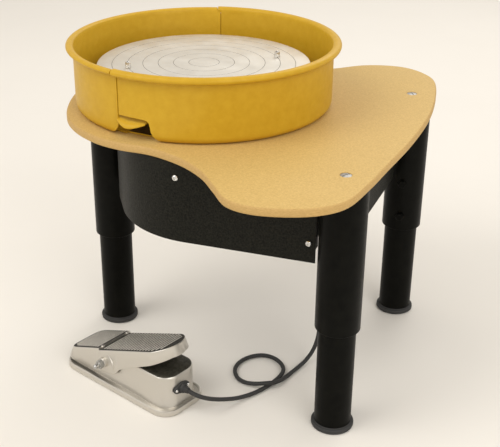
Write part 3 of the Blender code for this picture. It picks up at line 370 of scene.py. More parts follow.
def turned_metal():
    """Machined aluminium: concentric tool marks and faint wiped smears."""
    made = surface("turned_aluminium", (0.70, 0.675, 0.62), (0.81, 0.785, 0.73), (0.40, 0.52), 0.85,
                   patches=16.0, grains=((800.0, 0.00002),))
    tree = made.node_tree
    shader = tree.nodes["Principled BSDF"]
    rings = tree.nodes.new("ShaderNodeTexWave")
    rings.wave_type = "RINGS"
    rings.rings_direction = "Z"
    rings.inputs["Scale"].default_value = 240.0
    rings.inputs["Distortion"].default_value = 0.6
    rings.inputs["Detail"].default_value = 1.0
    tree.links.new(coordinates(tree, shift=-AXIS), rings.inputs["Vector"])
    grain = shader.inputs["Normal"].links[0].from_socket
    tree.links.new(bump(tree, rings.outputs["Fac"], 0.00002, grain), shader.inputs["Normal"])
    return made


SLOT_LOOKS = {
    "board": fibreboard, "black_paint": crinkle_paint, "steel": ground_steel,
    "head_aluminium": turned_metal, "cast_aluminium": cast_metal, "cast_iron": iron,
    "rubber": rubber, "black_plastic": black_plastic, "pan_plastic": mustard_plastic, "brass": brass,
}


def dress_cad_nodes():
    """Every CAD node gets its slot's material, and the leg bolts get the legs' paint."""
    for subpart in frame["record"]["subparts"]:
        name = subpart["node"]
        look = satin_paint if name.startswith("leg_bolt") else SLOT_LOOKS[subpart["material_slot"]]
        for place in frame["nodes"][name].material_slots:
            place.material = look()


# ================================================================ building blocks
def piece(name, shape, looks, body, nodes=(), sharp=35.0, cutters=()):
    """Turn a bmesh into a piece on a body, with any cutters taken out of it."""
    bmesh.ops.remove_doubles(shape, verts=shape.verts, dist=1e-6)
    bmesh.ops.recalc_face_normals(shape, faces=shape.faces)
    made = plain_object(name, shape)
    for look in looks:
        made.data.materials.append(look)
    if cutters:
        carve(made, cutters)
    made.data.shade_smooth()
    made.data.set_sharp_from_angle(angle=math.radians(sharp))
    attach(made, body)
    if nodes:
        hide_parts(*nodes)
    return made


def plain_object(name, shape):
    mesh = bpy.data.meshes.new(name)
    shape.to_mesh(mesh)
    shape.free()
    made = bpy.data.objects.new(name, mesh)
    bpy.context.scene.collection.objects.link(made)
    return made


def carve(target, cutters):
    """Take closed cutters out of a mesh for good."""
    tools = [plain_object("cutter", shape) for shape in cutters]
    for tool in tools:
        step = target.modifiers.new("cut", "BOOLEAN")
        step.operation = "DIFFERENCE"
        step.solver = "EXACT"
        step.object = tool
    graph = bpy.context.evaluated_depsgraph_get()
    carved = bpy.data.meshes.new_from_object(target.evaluated_get(graph))
    target.modifiers.clear()
    target.data = carved
    for tool in tools:
        bpy.data.objects.remove(tool)


def oriented(shape):
    bmesh.ops.recalc_face_normals(shape, faces=shape.faces)
    return shape


def moved(shape, matrix):
    bmesh.ops.transform(shape, matrix=matrix, verts=shape.verts)
    return shape


def arc(centre, radius, first, last, steps):
    """Points (across, up) on a circle between two angles in degrees."""
    points = []
    for index in range(steps + 1):
        angle = math.radians(first + (last - first) * index / steps)
        points.append((centre[0] + radius * math.cos(angle), centre[1] + radius * math.sin(angle)))
    return points


def lathe(profile, segments=96, start=0.0, end=360.0, centre=AXIS):
    """Turn a closed (radius, height) profile round a vertical line."""
    shape = bmesh.new()
    full = end - start >= 360.0
    count = segments if full else segments + 1
    rings = []
    for index in range(count):
        angle = math.radians(start + (end - start) * index / segments)
        east, north = math.cos(angle), math.sin(angle)
        rings.append([
            shape.verts.new((centre[0] + r * east, centre[1] + r * north, z)) for r, z in profile
        ])
    following = rings[1:] + rings[:1] if full else rings[1:]
    for near, far in zip(rings, following):
        for index, (r, _) in enumerate(profile):
            after = (index + 1) % len(profile)
            corners = [near[index], near[after], far[after], far[index]]
            if r == 0.0 and profile[after][0] == 0.0:
                continue
            if r == 0.0:
                corners = corners[:3]
            elif profile[after][0] == 0.0:
                corners = [near[index], near[after], far[index]]
            shape.faces.new(corners)
    if not full:
        shape.faces.new(rings[0])
        shape.faces.new(rings[-1])
    return shape


def stack(rings, caps=True):
    """Skin rings of equal point count, and close both ends."""
    shape = bmesh.new()
    made = [[shape.verts.new(point) for point in ring] for ring in rings]
    count = len(rings[0])
    for lower, upper in zip(made, made[1:]):
        for index in range(count):
            after = (index + 1) % count
            shape.faces.new((lower[index], lower[after], upper[after], upper[index]))
    if caps:
        shape.faces.new(made[0])
        shape.faces.new(made[-1])
    return shape


def block(size, centre=(0.0, 0.0, 0.0)):
    shape = bmesh.new()
    bmesh.ops.create_cube(shape, size=1.0)
    return moved(shape, Matrix.Translation(centre) @ Matrix.Diagonal((*size, 1.0)))


def inset(outline, distance):
    """A closed outline moved inwards; it runs anticlockwise."""
    shifted = []
    for index, (x, y) in enumerate(outline):
        before, after = outline[index - 1], outline[(index + 1) % len(outline)]
        along = Vector((after[0] - before[0], after[1] - before[1])).normalized()
        shifted.append((x - along.y * distance, y + along.x * distance))
    return shifted


def smooth_path(points, steps, closed=False):
    """Catmull-Rom curve through the points, with a few samples per stretch."""
    places = [Vector(point) for point in points]
    count = len(places)
    path = []
    for index in range(count if closed else count - 1):
        if closed:
            a, b, c, d = (places[(index + shift) % count] for shift in (-1, 0, 1, 2))
        else:
            b, c = places[index], places[index + 1]
            a = places[index - 1] if index else b * 2.0 - c
            d = places[index + 2] if index + 2 < count else c * 2.0 - b
        for part in range(steps):
            t = part / steps
            path.append(0.5 * (2 * b + (c - a) * t + (2 * a - 5 * b + 4 * c - d) * t * t
                               + (3 * b - 3 * c + d - a) * t * t * t))
    if not closed:
        path.append(places[-1])
    return path


def ring_points(count, radius, height, flats=0):
    """A level ring round the origin; with flats it is a regular polygon's outline."""
    points = []
    for index in range(count):
        angle = math.tau * index / count
        reach = radius
        if flats:
            sector = math.tau / flats
            reach *= math.cos(sector / 2.0) / math.cos(angle % sector - sector / 2.0)
        points.append((reach * math.cos(angle), reach * math.sin(angle), height))
    return points


# ================================================================ cord
def pedal_cord():
    route = smooth_path([AXIS + Vector(point) for point in CORD_ROUTE], 5)
    curve = bpy.data.curves.new("cord", "CURVE")
    curve.dimensions = "3D"
    curve.bevel_depth = 3.5 * MM
    curve.bevel_resolution = 6
    curve.use_fill_caps = True
    line = curve.splines.new("POLY")
    line.points.add(len(route) - 1)
    for point, place in zip(line.points, route):
        point.co = (*place, 1.0)
    line.use_smooth = True
    curve.materials.append(rubber())
    cord = bpy.data.objects.new("cord", curve)
    bpy.context.scene.collection.objects.link(cord)
    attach(cord, "stand")
    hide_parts("pedal_cord")


# ================================================================ table
def board():
    outline = [(AXIS.x + x * MM, AXIS.y + y * MM) for x, y in smooth_path(BOARD_OUTLINE, 8, closed=True)]
    edge = 3.2 * MM
    turns = [math.radians(angle) for angle in (0, 22.5, 45, 67.5, 90)]
    levels = [(edge * (1 - math.sin(turn)), BOARD_LOW.z + edge * (1 - math.cos(turn))) for turn in turns]
    levels += [(edge * (1 - math.sin(turn)), TABLE_TOP - edge * (1 - math.cos(turn))) for turn in turns[::-1]]
    shape = stack([[(x, y, height) for x, y in inset(outline, margin)] for margin, height in levels])
    shape.normal_update()
    for face in shape.faces:
        face.material_index = 0 if abs(face.normal.z) > 0.93 else 1
    holes = [oriented(lathe([(0.0, 0.40), (46.0 * MM, 0.40), (46.0 * MM, 0.44), (0.0, 0.44)], 64))]
    for leg in LEG_NAMES:
        sink = [(0.0, 0.40), (4.4 * MM, 0.40), (4.4 * MM, TABLE_TOP - 5.2 * MM),
                (9.0 * MM, TABLE_TOP - 0.9 * MM), (9.0 * MM, 0.44), (0.0, 0.44)]
        holes.append(oriented(lathe(sink, 40, centre=middle(f"table_screw_{leg}"))))
    piece("board", shape, (fibreboard(), board_edge()), "stand", ("table_top",), cutters=holes)


def table_screws():
    """Countersunk screws with a straight slot, each turned its own way."""
    for leg, turn in zip(LEG_NAMES, (20.0, 65.0, 130.0)):
        spot = middle(f"table_screw_{leg}")
        top = TABLE_TOP + 0.3 * MM
        dome = arc((0.0, top - 40.0 * MM), 40.0 * MM, 90.0, 78.2, 5)
        profile = [(0.0, TABLE_TOP - 20.0 * MM), (4.0 * MM, TABLE_TOP - 20.0 * MM),
                   (4.0 * MM, TABLE_TOP - 4.9 * MM), (8.5 * MM, TABLE_TOP - 0.9 * MM)] + dome[::-1]
        lay = Matrix.Translation((spot.x, spot.y, top + 0.2 * MM))
        lay = lay @ Matrix.Rotation(math.radians(turn), 4, "Z")
        slot = moved(block((20.0 * MM, 1.7 * MM, 3.0 * MM)), lay)
        piece(f"board_screw_{leg}", lathe(profile, 48, centre=spot), (dull_zinc(),), "stand",
              (f"table_screw_{leg}",), cutters=(oriented(slot),))


def apron_screws():
    """Round-head screws with a cross recess on the apron."""
    for side, facing in (("left", -86.0), ("right", -81.3)):
        node = f"apron_screw_{side}"
        turn = Matrix.Rotation(math.radians(facing), 4, "Z")
        spot = middle(node) + turn @ Vector((2.95 * MM, 0.0, 0.0))
        lay = Matrix.Translation(spot) @ turn @ Matrix.Rotation(math.radians(90.0), 4, "Y")
        dome = arc((0.0, 1.4 * MM), 5.2 * MM, 8.0, 90.0, 8)
        dome = [(r, 1.4 * MM + (z - 1.4 * MM) * 0.71) for r, z in dome]
        profile = [(0.0, -11.0 * MM), (2.4 * MM, -11.0 * MM), (2.4 * MM, 1.4 * MM), (5.2 * MM, 1.4 * MM)]
        recess = [oriented(moved(block(size, (0.0, 0.0, 5.0 * MM)), lay)) for size in
                  ((4.6 * MM, 1.1 * MM, 3.4 * MM), (1.1 * MM, 4.6 * MM, 3.4 * MM))]
        shape = moved(lathe(profile + dome, 40, centre=(0.0, 0.0)), lay)
        piece(f"round_head_{side}", shape, (zinc(),), "stand", (node,), cutters=recess)


def filleted(corners):
    """An open path through (x, y, radius) corners, rounded by fine arcs, in millimetres."""
    path = [Vector(corners[0][:2])]
    for before, (x, y, radius), after in zip(corners, corners[1:], corners[2:]):
        here = Vector((x, y))
        back = (Vector(before[:2]) - here).normalized()
        ahead = (Vector(after[:2]) - here).normalized()
        half = back.angle(ahead) / 2.0
        centre = here + (back + ahead).normalized() * radius / math.sin(half)
        first = here + back * radius / math.tan(half) - centre
        sweep = first.angle_signed(here + ahead * radius / math.tan(half) - centre)
        for part in range(25):
            path.append(centre + Matrix.Rotation(-sweep * part / 24, 2) @ first)
    path.append(Vector(corners[-1][:2]))
    return path


def skirts():
    """The bent sheets under the board, front and back, with softly rounded edges.

    Where a sheet stands beyond the frame plate's edge, it rises to just under the board.
    """
    front = ((296, -198.5, 0), (5.3, -243, 160), (-95, -126, 60), (-106, -86, 0))
    back = ((262, 214, 0), (95, 236, 150), (-75, 200, 110), (-160, 80, 80), (-167, -28, 0))
    half, soft = 1.25, 0.5
    rise = 3.2
    front_gap = (-70.0, 190.0)
    rear_gap = (185.0, 45.0)
    for node, corners in (("front_apron", front), ("rear_panel", back)):
        low, high = (corner.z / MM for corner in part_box(node))
        section = ((-half, low + soft), (soft - half, low), (half - soft, low), (half, low + soft),
                   (half, high - soft), (half - soft, high), (soft - half, high), (-half, high - soft))
        path = filleted(corners)
        rings = []
        for index, here in enumerate(path):
            along = path[min(index + 1, len(path) - 1)] - path[max(index - 1, 0)]
            aside = Vector((-along.y, along.x)).normalized()
            if here.y < 0.0:
                beyond = front_gap[0] < here.x < front_gap[1]
            else:
                beyond = here.x < rear_gap[0] and here.y > rear_gap[1]
            lift = rise if beyond else 0.0
            rings.append([(here.x + aside.x * out, here.y + aside.y * out, z + lift * (z > 350.0))
                          for out, z in section])
        shape = moved(stack(rings), Matrix.Translation(AXIS) @ Matrix.Scale(MM, 4))
        piece(f"{node}_sheet", shape, (crinkle_paint(),), "stand", (node,))


# ================================================================ legs
def legs():
    """Upper tube, lower tube and foot cap of each leg."""
    tube_inner, tube_outer = 25.9 * MM, 28.9 * MM
    for leg in LEG_NAMES:
        low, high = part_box(f"leg_upper_{leg}")
        centre = (low + high) / 2.0
        radius, bore, lip = 34.6 * MM, 29.4 * MM, 1.6 * MM
        corner = arc((radius - lip, low.z + lip), lip, -90.0, 0.0, 5)
        tube = [(bore, high.z)] + [(bore, low.z)] + corner + [(radius, high.z)]
        piece(f"upper_leg_{leg}", lathe(tube, 96, centre=centre), (satin_paint(),), "stand",
              (f"leg_upper_{leg}",))
        low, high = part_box(f"leg_lower_{leg}")
        tube = [(tube_inner, low.z), (tube_outer, low.z), (tube_outer, high.z), (tube_inner, high.z)]
        piece(f"lower_leg_{leg}", lathe(tube, 96, centre=centre), (satin_paint(),), f"leg_{leg}",
              (f"leg_lower_{leg}",))
        rim = 2.2 * MM
        height, reach = 8.0 * MM, 33.4 * MM
        profile = [(0.0, 0.0)] + arc((reach - rim, rim), rim, -90.0, 0.0, 4)
        profile += arc((reach - rim, height - rim), rim, 0.0, 90.0, 4)
        profile += [(30.2 * MM, height), (29.4 * MM, height + 1.6 * MM), (28.95 * MM, height + 1.6 * MM),
                    (25.5 * MM, height), (25.5 * MM, 22.0 * MM), (0.0, 22.0 * MM)]
        piece(f"foot_cap_{leg}", lathe(profile, 96, centre=centre), (rubber(),), f"leg_{leg}",
              (f"leg_foot_{leg}",))


# ================================================================ wheel
def wheel_head():
    """The head with six engraved rings, an inch apart, and a centre dimple."""
    top, under = HEAD_TOP, HEAD_LOW.z
    thick = 15.0 * MM
    groove, depth = 0.45 * MM, 0.35 * MM
    profile = [(0.0, top - 1.0 * MM), (1.4 * MM, top)]
    for ring in range(1, 7):
        radius = ring * INCH
        profile += [(radius - groove, top), (radius - 0.2 * groove, top - depth),
                    (radius + 0.2 * groove, top - depth), (radius + groove, top)]
    edge = 1.8 * MM
    profile += arc((HEAD_RADIUS - edge, top - edge), edge, 90.0, 0.0, 5)
    low = top - thick
    profile += arc((HEAD_RADIUS - MM, low + MM), MM, 0.0, -90.0, 3)
    band = HEAD_RADIUS - 12.0 * MM
    profile += [(band, low), (band - MM, low + 3.0 * MM), (HEAD_RADIUS * 0.6, low + 3.0 * MM),
                (40.0 * MM, under + 25.0 * MM), (34.0 * MM, under + 1.5 * MM), (32.5 * MM, under),
                (13.0 * MM, under), (13.0 * MM, 0.4700), (0.0, 0.4700)]
    shape = lathe(profile, 192)
    for face in shape.faces:
        place = face.calc_center_median()
        reach = (place - AXIS).xy.length / INCH
        if top - depth - 0.01 * MM < place.z < top - 0.05 * MM and abs(reach - round(reach)) < 0.02:
            face.material_index = 1
    piece("turned_head", shape, (turned_metal(), groove_metal()), "wheel",
          ("wheel_head",), sharp=25.0)


def bat_pins():
    """Cap screws with knurled sides and a hexagon socket."""
    for number in (1, 2):
        node = f"bat_pin_{number}"
        spot = middle(node)
        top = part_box(node)[1].z
        count = 48

        def knurled(radius, height):
            ring = ring_points(count, radius, height)
            return [(x * share, y * share, z) for (x, y, z), share in
                    zip(ring, [1.0, 0.95] * (count // 2))]

        rings = [ring_points(count, 3.0 * MM, HEAD_TOP - 20.0 * MM),
                 ring_points(count, 3.0 * MM, HEAD_TOP + 0.2 * MM),
                 ring_points(count, 4.4 * MM, HEAD_TOP + 0.2 * MM), knurled(4.7 * MM, HEAD_TOP + 0.8 * MM),
                 knurled(4.7 * MM, top - 1.3 * MM), ring_points(count, 4.3 * MM, top - 0.5 * MM),
                 ring_points(count, 3.7 * MM, top), ring_points(count, 2.9 * MM, top, 6),
                 ring_points(count, 2.7 * MM, top - 0.3 * MM, 6),
                 ring_points(count, 2.7 * MM, top - 4.0 * MM, 6)]
        shape = moved(stack(rings), Matrix.Translation((spot.x, spot.y, 0.0)))
        piece(f"bat_screw_{number}", shape, (zinc(),), "wheel", (node,), sharp=28.0)


# ================================================================ splash pan
def rolled_rim(size, first, last, steps):
    """Points of the rim's oval roll between two angles in degrees."""
    roll = arc((0.0, 0.0), 1.0, first, last, steps)
    return [(RIM_RADIUS + size.x * x, RIM_HEIGHT + size.y * y) for x, y in roll]


def rim_end_cutter(first, last):
    """Takes the rolled rim off a stretch of the left half, at a slight slant."""
    sections = []
    for radius, slant in ((WALL_RADIUS + 0.1 * MM, 0.0), (WALL_RADIUS + 18.0 * MM, 0.5)):
        outline = [(first - slant, (RIM_HEIGHT - 12.0 * MM) / MM), (last, (RIM_HEIGHT - 12.0 * MM) / MM),
                   (last, (PAN_TOP + 6.0 * MM) / MM), (first - slant, (PAN_TOP + 6.0 * MM) / MM)]
        sections.append(on_cylinder(outline, radius))
    return oriented(stack(sections))


def pan_profile(rim):
    """Cross-section: out along the floor, up the wall, round the rolled rim and back inside."""
    floor_z = PAN_FLOOR
    outer = WALL_RADIUS
    corner = (outer - CORNER, floor_z + CORNER)
    profile = [(COLLAR_RADIUS, floor_z)]
    profile += arc(corner, CORNER, -90.0, 0.0, 8)
    profile += [(outer, RIM_HEIGHT - 9.5 * MM), (outer + 0.4 * MM, RIM_HEIGHT - 6.2 * MM)]
    profile += rolled_rim(rim, -108.0, 174.0, 22)
    profile += [(outer - WALL, RIM_HEIGHT - 5.0 * MM)]
    profile += arc(corner, CORNER - WALL, 0.0, -90.0, 8)
    profile += [(COLLAR_RADIUS + WALL + 2.0 * MM, floor_z + WALL),
                (COLLAR_RADIUS + WALL, floor_z + WALL + 2.0 * MM)]
    top = floor_z + COLLAR_HEIGHT - WALL / 2
    profile += arc((COLLAR_RADIUS + WALL / 2, top), WALL / 2, 0.0, 180.0, 6)
    return profile


def on_cylinder(outline, radius):
    """Points of a (degrees, height) outline on a cylinder round the wheel's axis."""
    points = []
    for angle, height in outline:
        turn = math.radians(angle)
        points.append((AXIS.x + radius * math.cos(turn), AXIS.y + radius * math.sin(turn), height * MM))
    return points


def notch_cutter():
    """The drain notch: its outer corner is round and flares out towards the board."""
    outline = [(-101.0, 415.0), (-79.0, 415.0), (-79.4, 424.0), (-80.4, 429.5), (-81.6, 434.0),
               (-82.7, 441.0), (-83.1, 449.0), (-83.5, 455.0), (-84.4, 458.4), (-85.8, 459.6),
               (-88.0, 459.9), (-91.0, 460.1), (-94.0, 460.3), (-97.0, 460.5), (-101.0, 460.8)]
    return oriented(stack([on_cylinder(outline, radius) for radius in (195.5 * MM, 205.0 * MM, 240.0 * MM)]))


def corner_cutter():
    """Rounds off the left half's lower corner at the seam."""
    outline = [(-108.0, 415.0), (-90.0, 415.0), (-90.0, 446.0), (-98.2, 446.0), (-98.9, 439.0),
               (-100.2, 433.0), (-102.2, 428.6), (-104.6, 426.4), (-108.0, 425.0)]
    return oriented(stack([on_cylinder(outline, radius) for radius in (199.0 * MM, 208.0 * MM, 240.0 * MM)]))


def drain_lip():
    """The left half's tongue: it runs on under the right half and curls out at its end."""
    steps = 22
    sections = []
    for index in range(steps + 1):
        part = index / steps
        turn = math.radians(-99.6 + (-85.6 + 99.6) * part)
        bulge = math.sin(math.pi * min(1.0, part * 1.02)) ** 0.8
        reach = WALL_RADIUS - 1.5 * MM + 10.5 * MM * bulge
        droop = 4.5 * MM * math.sin(math.pi * part)
        height = 453.5 * MM - 5.5 * MM * min(1.0, part * 2.2) + 2.0 * MM * part
        section = [(186.0 * MM, height + 1.5 * MM), (reach - 6.0 * MM, height + 0.4 * MM),
                   (reach - 1.2 * MM, height - droop * 0.6), (reach, height - droop),
                   (reach + 0.3 * MM, height - droop + 1.6 * MM),
                   (reach - 1.4 * MM, height - droop * 0.6 + 2.6 * MM),
                   (reach - 6.4 * MM, height + 3.0 * MM), (186.0 * MM, height + 4.0 * MM)]
        sections.append([(AXIS.x + r * math.cos(turn), AXIS.y + r * math.sin(turn), z) for r, z in section])
    return stack(sections)


def rim_lap(name, start, end):
    """The end of the right half's rim, which runs on past the seam."""
    profile = rolled_rim(RIM_RIGHT, 0.0, 345.0, 24)
    piece(name, lathe(profile, 4, start, end), (mustard_plastic(),), "pan_right")


def seam_strip(name, radius, start, end, low):
    """A thin upright edge of the left half along a seam."""
    high = RIM_HEIGHT - 5.5 * MM
    thick = 1.2 * MM
    profile = [(radius, low), (radius + 0.8 * thick, low + 2.0 * MM), (radius + thick, low + 4.0 * MM),
               (radius + thick, high), (radius, high)]
    piece(name, lathe(profile, 2, start, end), (mustard_plastic(),), "pan_left")


def splash_pan():
    look = (mustard_plastic(), painted_shade_plastic())
    right = lathe(pan_profile(RIM_RIGHT), 150, FRONT_SEAM + SEAM_GAP, BACK_SEAM - SEAM_GAP)
    # the right half's floor faces inside the drain notch get the painted shade
    for face in right.faces:
        place = face.calc_center_median() - AXIS
        turn = math.degrees(math.atan2(place.y, place.x))
        if place.z < PAN_FLOOR + 8.0 * MM and FRONT_SEAM - 1.0 < turn < -81.0:
            face.material_index = 1
    piece("pan_right_half", right, look, "pan_right", ("splash_pan_right",),
          cutters=(notch_cutter(),))
    left = lathe(pan_profile(RIM_LEFT), 110, BACK_SEAM, FRONT_SEAM + 360.0)
    front_end = FRONT_SEAM - RIM_LAP_FRONT - RIM_GAP
    back_end = BACK_SEAM + RIM_LAP_BACK + RIM_GAP
    trims = (corner_cutter(), rim_end_cutter(front_end, FRONT_SEAM + 1.0),
             rim_end_cutter(BACK_SEAM - 1.0, back_end))
    piece("pan_left_half", left, look[:1], "pan_left", ("splash_pan_left",), cutters=trims)
    piece("pan_drain_lip", drain_lip(), look[:1], "pan_left", sharp=50.0)
    outside, inside = WALL_RADIUS + 0.05 * MM, WALL_RADIUS - WALL - 1.3 * MM
    seam_strip("pan_seam_edge_front", outside, FRONT_SEAM - 0.55, FRONT_SEAM, 447.0 * MM)
    seam_strip("pan_seam_lap_front", inside, FRONT_SEAM - 0.8, FRONT_SEAM + 0.8, 462.0 * MM)
    seam_strip("pan_seam_lap_back", outside, BACK_SEAM - 0.8, BACK_SEAM + 0.55, 438.0 * MM)
    rim_lap("pan_rim_lap_front", FRONT_SEAM - RIM_LAP_FRONT, FRONT_SEAM + SEAM_GAP)
    rim_lap("pan_rim_lap_back", BACK_SEAM - SEAM_GAP, BACK_SEAM + RIM_LAP_BACK)


# ================================================================ pedal
PEDAL_FRAME = Matrix.Identity(4)
for row in range(3):
    PEDAL_FRAME[row][0] = PEDAL_ALONG[row]
    PEDAL_FRAME[row][1] = PEDAL_ACROSS[row]
PEDAL_ORIGIN = PEDAL_PIVOT - PEDAL_ALONG * PIVOT_ALONG * MM
PEDAL_FRAME.translation = (PEDAL_ORIGIN.x, PEDAL_ORIGIN.y, 0.0)


def on_pedal(shape):
    """Carry a body from the pedal's own axes, in millimetres, to its place."""
    return moved(shape, PEDAL_FRAME @ Matrix.Scale(MM, 4))


def between(knots, along):
    for (left, low), (right, high) in zip(knots, knots[1:]):
        if along <= right:
            return low + (high - low) * max(0.0, along - left) / (right - left)
    return knots[-1][1]


def tread_top(along):
    """Height of the tread: a heel part and a toe part with a step between them."""
    if along < TREAD_STEP:
        return HEEL_TOP + HEEL_SLOPE * (along - TREAD_STEP)
    return TOE_TOP + TOE_SLOPE * (along - TREAD_STEP)


def tread_outline(margin):
    """Half outline of the tread, heel to toe: (along, half width)."""
    half = TREAD_HALF - margin
    heel = TREAD_HEEL + margin
    side = [(heel, 0.01), (heel, half * 0.35)]
    side += [(heel + 15.0 - x, half - 15.0 + y) for x, y in arc((0.0, 0.0), 15.0, 0.0, 90.0, 8)]
    straight = [-100.0 + 4.0 * step for step in range(14)] + [TREAD_STEP - 0.4, TREAD_STEP + 0.4]
    straight += [-40.0 + 4.0 * step for step in range(25)]
    side += [(along, half) for along in straight]
    toe = TREAD_TOE_RADIUS - margin
    for angle in range(74, -1, -6):
        turn = math.radians(angle)
        side.append((TREAD_TOE_CENTRE + toe * math.cos(turn), max(0.01, toe * math.sin(turn))))
    return side


def flare(side, spread):
    """A half outline pushed outwards, most at its widest."""
    heel = side[0][0]
    pushed = []
    for along, half in side:
        end = max(0.0, along - TREAD_TOE_CENTRE) / TREAD_TOE_RADIUS
        if along < heel + 14.0:
            end = -(1.0 - (along - heel) / 14.0)
        pushed.append((along + spread * end, half + spread * min(1.0, half / TREAD_HALF)))
    return pushed


def both_sides(side, height):
    near = [(along, -half, height(along)) for along, half in side]
    return near + [(x, -y, z) for x, y, z in reversed(near)]


def bridged_stack(rings):
    """Like stack, with caps of strips from side to side, so that a cap may bend."""
    shape = stack(rings, caps=False)
    shape.verts.ensure_lookup_table()
    count = len(rings[0])
    for first in (0, count * (len(rings) - 1)):
        for index in range(count // 2 - 1):
            mirror = count - 1 - index
            corners = (first + index, first + index + 1, first + mirror - 1, first + mirror)
            shape.faces.new([shape.verts[corner] for corner in corners])
    return shape


def skirt_edge(along):
    return between(SKIRT_KNOTS, along)


def tread():
    """The tread plate with its skirt, ribs, bosses and the curved bead round the pivot."""
    outer, inner = tread_outline(0.0), tread_outline(2.5)
    rings = [
        both_sides(tread_outline(3.0), tread_top),
        both_sides(tread_outline(1.3), lambda along: tread_top(along) - 0.5),
        both_sides(tread_outline(0.3), lambda along: tread_top(along) - 1.6),
        both_sides(outer, lambda along: tread_top(along) - 3.2),
        both_sides(flare(outer, TREAD_FLARE - 0.3), lambda along: skirt_edge(along) + 1.2),
        both_sides(flare(outer, TREAD_FLARE - 0.8), skirt_edge),
        both_sides(flare(inner, TREAD_FLARE), skirt_edge),
        both_sides(inner, lambda along: tread_top(along) - 4.0),
    ]
    plate = bridged_stack(rings)
    plate.normal_update()
    # the plate's top faces, between the ribs, take the near-black hollow colour
    for face in plate.faces:
        centre = face.calc_center_median()
        if abs(face.normal.z) > 0.8 and centre.z > tread_top(centre.x) - 0.3:
            face.material_index = 1
    piece("tread_plate", on_pedal(plate), (cast_metal(), rib_hollow_metal()), "tread",
          ("pedal_tread",), sharp=40.0)
    piece("tread_ribs", on_pedal(tread_ribs()), (rubbed_metal(),), "tread", sharp=50.0)
    piece("tread_bosses", on_pedal(tread_bosses()), (cast_metal(),), "tread")
    piece("tread_pivot_bead", on_pedal(pivot_bead()), (cast_metal(),), "tread")


def half_width_at(along, margin):
    """Half the tread's width at a place, kept clear of its edge."""
    side = tread_outline(margin)
    if along < side[0][0] or along > side[-1][0]:
        return 0.0
    return between(side, along)


def tread_ribs():
    """Low bars across the heel part and the toe part."""
    shape = bmesh.new()
    heel = [TREAD_HEEL + 9.0 + 5.4 * step for step in range(12)]
    toe = [TREAD_STEP + 9.0 + 6.6 * step for step in range(20)]
    section = ((-1.6, -0.6), (-1.1, 1.0), (0.0, 1.3), (1.1, 1.0), (1.6, -0.6))
    for along in heel + toe:
        reach = min(half_width_at(along - 1.6, 4.5), half_width_at(along + 1.6, 4.5))
        if reach < 4.0:
            continue
        slope = HEEL_SLOPE if along < TREAD_STEP else TOE_SLOPE
        rings = []
        for across, share in ((-reach, 0.45), (-reach + 1.2, 1.0), (reach - 1.2, 1.0), (reach, 0.45)):
            rings.append([
                shape.verts.new((along + x * share, across, tread_top(along) + slope * x * share + z * share))
                for x, z in section
            ])
        for lower, upper in zip(rings, rings[1:]):
            for index in range(5):
                after = (index + 1) % 5
                shape.faces.new((lower[index], lower[after], upper[after], upper[index]))
        shape.faces.new(rings[0])
        shape.faces.new(rings[-1])
    return shape


def join(shapes):
    whole = bmesh.new()
    for shape in shapes:
        mesh = bpy.data.meshes.new("part")
        shape.to_mesh(mesh)
        shape.free()
        whole.from_mesh(mesh)
        bpy.data.meshes.remove(mesh)
    return whole


def rod_across(radius, near, far, along, height, segments=40):
    """A round bar across the pedal, with a small bevel at both ends."""
    bevel = 0.8
    profile = [(0.0, near), (radius - bevel, near), (radius, near + bevel), (radius, far - bevel),
               (radius - bevel, far), (0.0, far)]
    lay = Matrix.Translation((along, 0.0, height)) @ Matrix.Rotation(math.radians(-90.0), 4, "X")
    return moved(lathe(profile, segments, centre=(0.0, 0.0)), lay)


def tread_bosses():
    """Pivot bosses on both skirts and a small boss at each end of the tread's step."""
    bosses = [rod_across(9.0, -44.1, -38.0, PIVOT_ALONG, PIVOT_HEIGHT),
              rod_across(9.0, 38.0, 45.7, PIVOT_ALONG, PIVOT_HEIGHT)]
    for across in (-28.0, 28.0):
        dome = [(0.0, HEEL_TOP - 4.0), (3.4, HEEL_TOP - 4.0), (3.4, HEEL_TOP + 0.4),
                (2.4, HEEL_TOP + 1.2), (0.0, HEEL_TOP + 1.4)]
        bosses.append(lathe(dome, 24, centre=(TREAD_STEP + 1.6, across)))
    return join(bosses)


def pivot_bead():
    """A raised round bead on the near skirt that arches over the pivot."""
    rings = []
    for step in range(25):
        angle = math.radians(72.0 - 80.0 * step / 24)
        along = PIVOT_ALONG + 24.0 * math.cos(angle)
        height = PIVOT_HEIGHT - 3.0 + 22.0 * math.sin(angle)
        top, low = tread_top(along), skirt_edge(along)
        share = (top - height) / (top - low)
        across = -(TREAD_HALF + TREAD_FLARE * share) + 0.3
        outward = Vector((math.cos(angle), 0.0, math.sin(angle)))
        swell = 1.9 * min(1.0, 0.25 + 3.0 * min(step, 24 - step) / 24)
        ring = []
        for index in range(10):
            turn = math.tau * index / 10
            ring.append((along + outward.x * swell * math.cos(turn), across + swell * 0.9 * math.sin(turn),
                         height + outward.z * swell * math.cos(turn)))
        rings.append(ring)
    return stack(rings)


def housing_side(margin):
    """Half outline of the housing, heel to toe."""
    half = 38.0 - margin
    slim = half - 2.5
    heel_round, toe_round = 12.0 - margin, 26.0 - margin
    side = [(-112.0 + margin + heel_round - x, slim - heel_round + y)
            for x, y in arc((0.0, 0.0), heel_round, 0.0, 90.0, 6)]
    side += [(along, slim) for along in (-80, -55, -29, -10, 5, 20)]
    side += [(45, slim + 0.5), (58, slim + 1.6), (72, half)]
    side += [(116.0 - margin - toe_round + x, half - toe_round + y)
             for x, y in arc((0.0, 0.0), toe_round, 80.0, 0.0, 10)]
    return side


def housing_top(along):
    return between(((-112.0, 22.0), (-29.0, 48.0), (40.0, 65.0), (50.0, 66.0), (120.0, 66.0)), along)


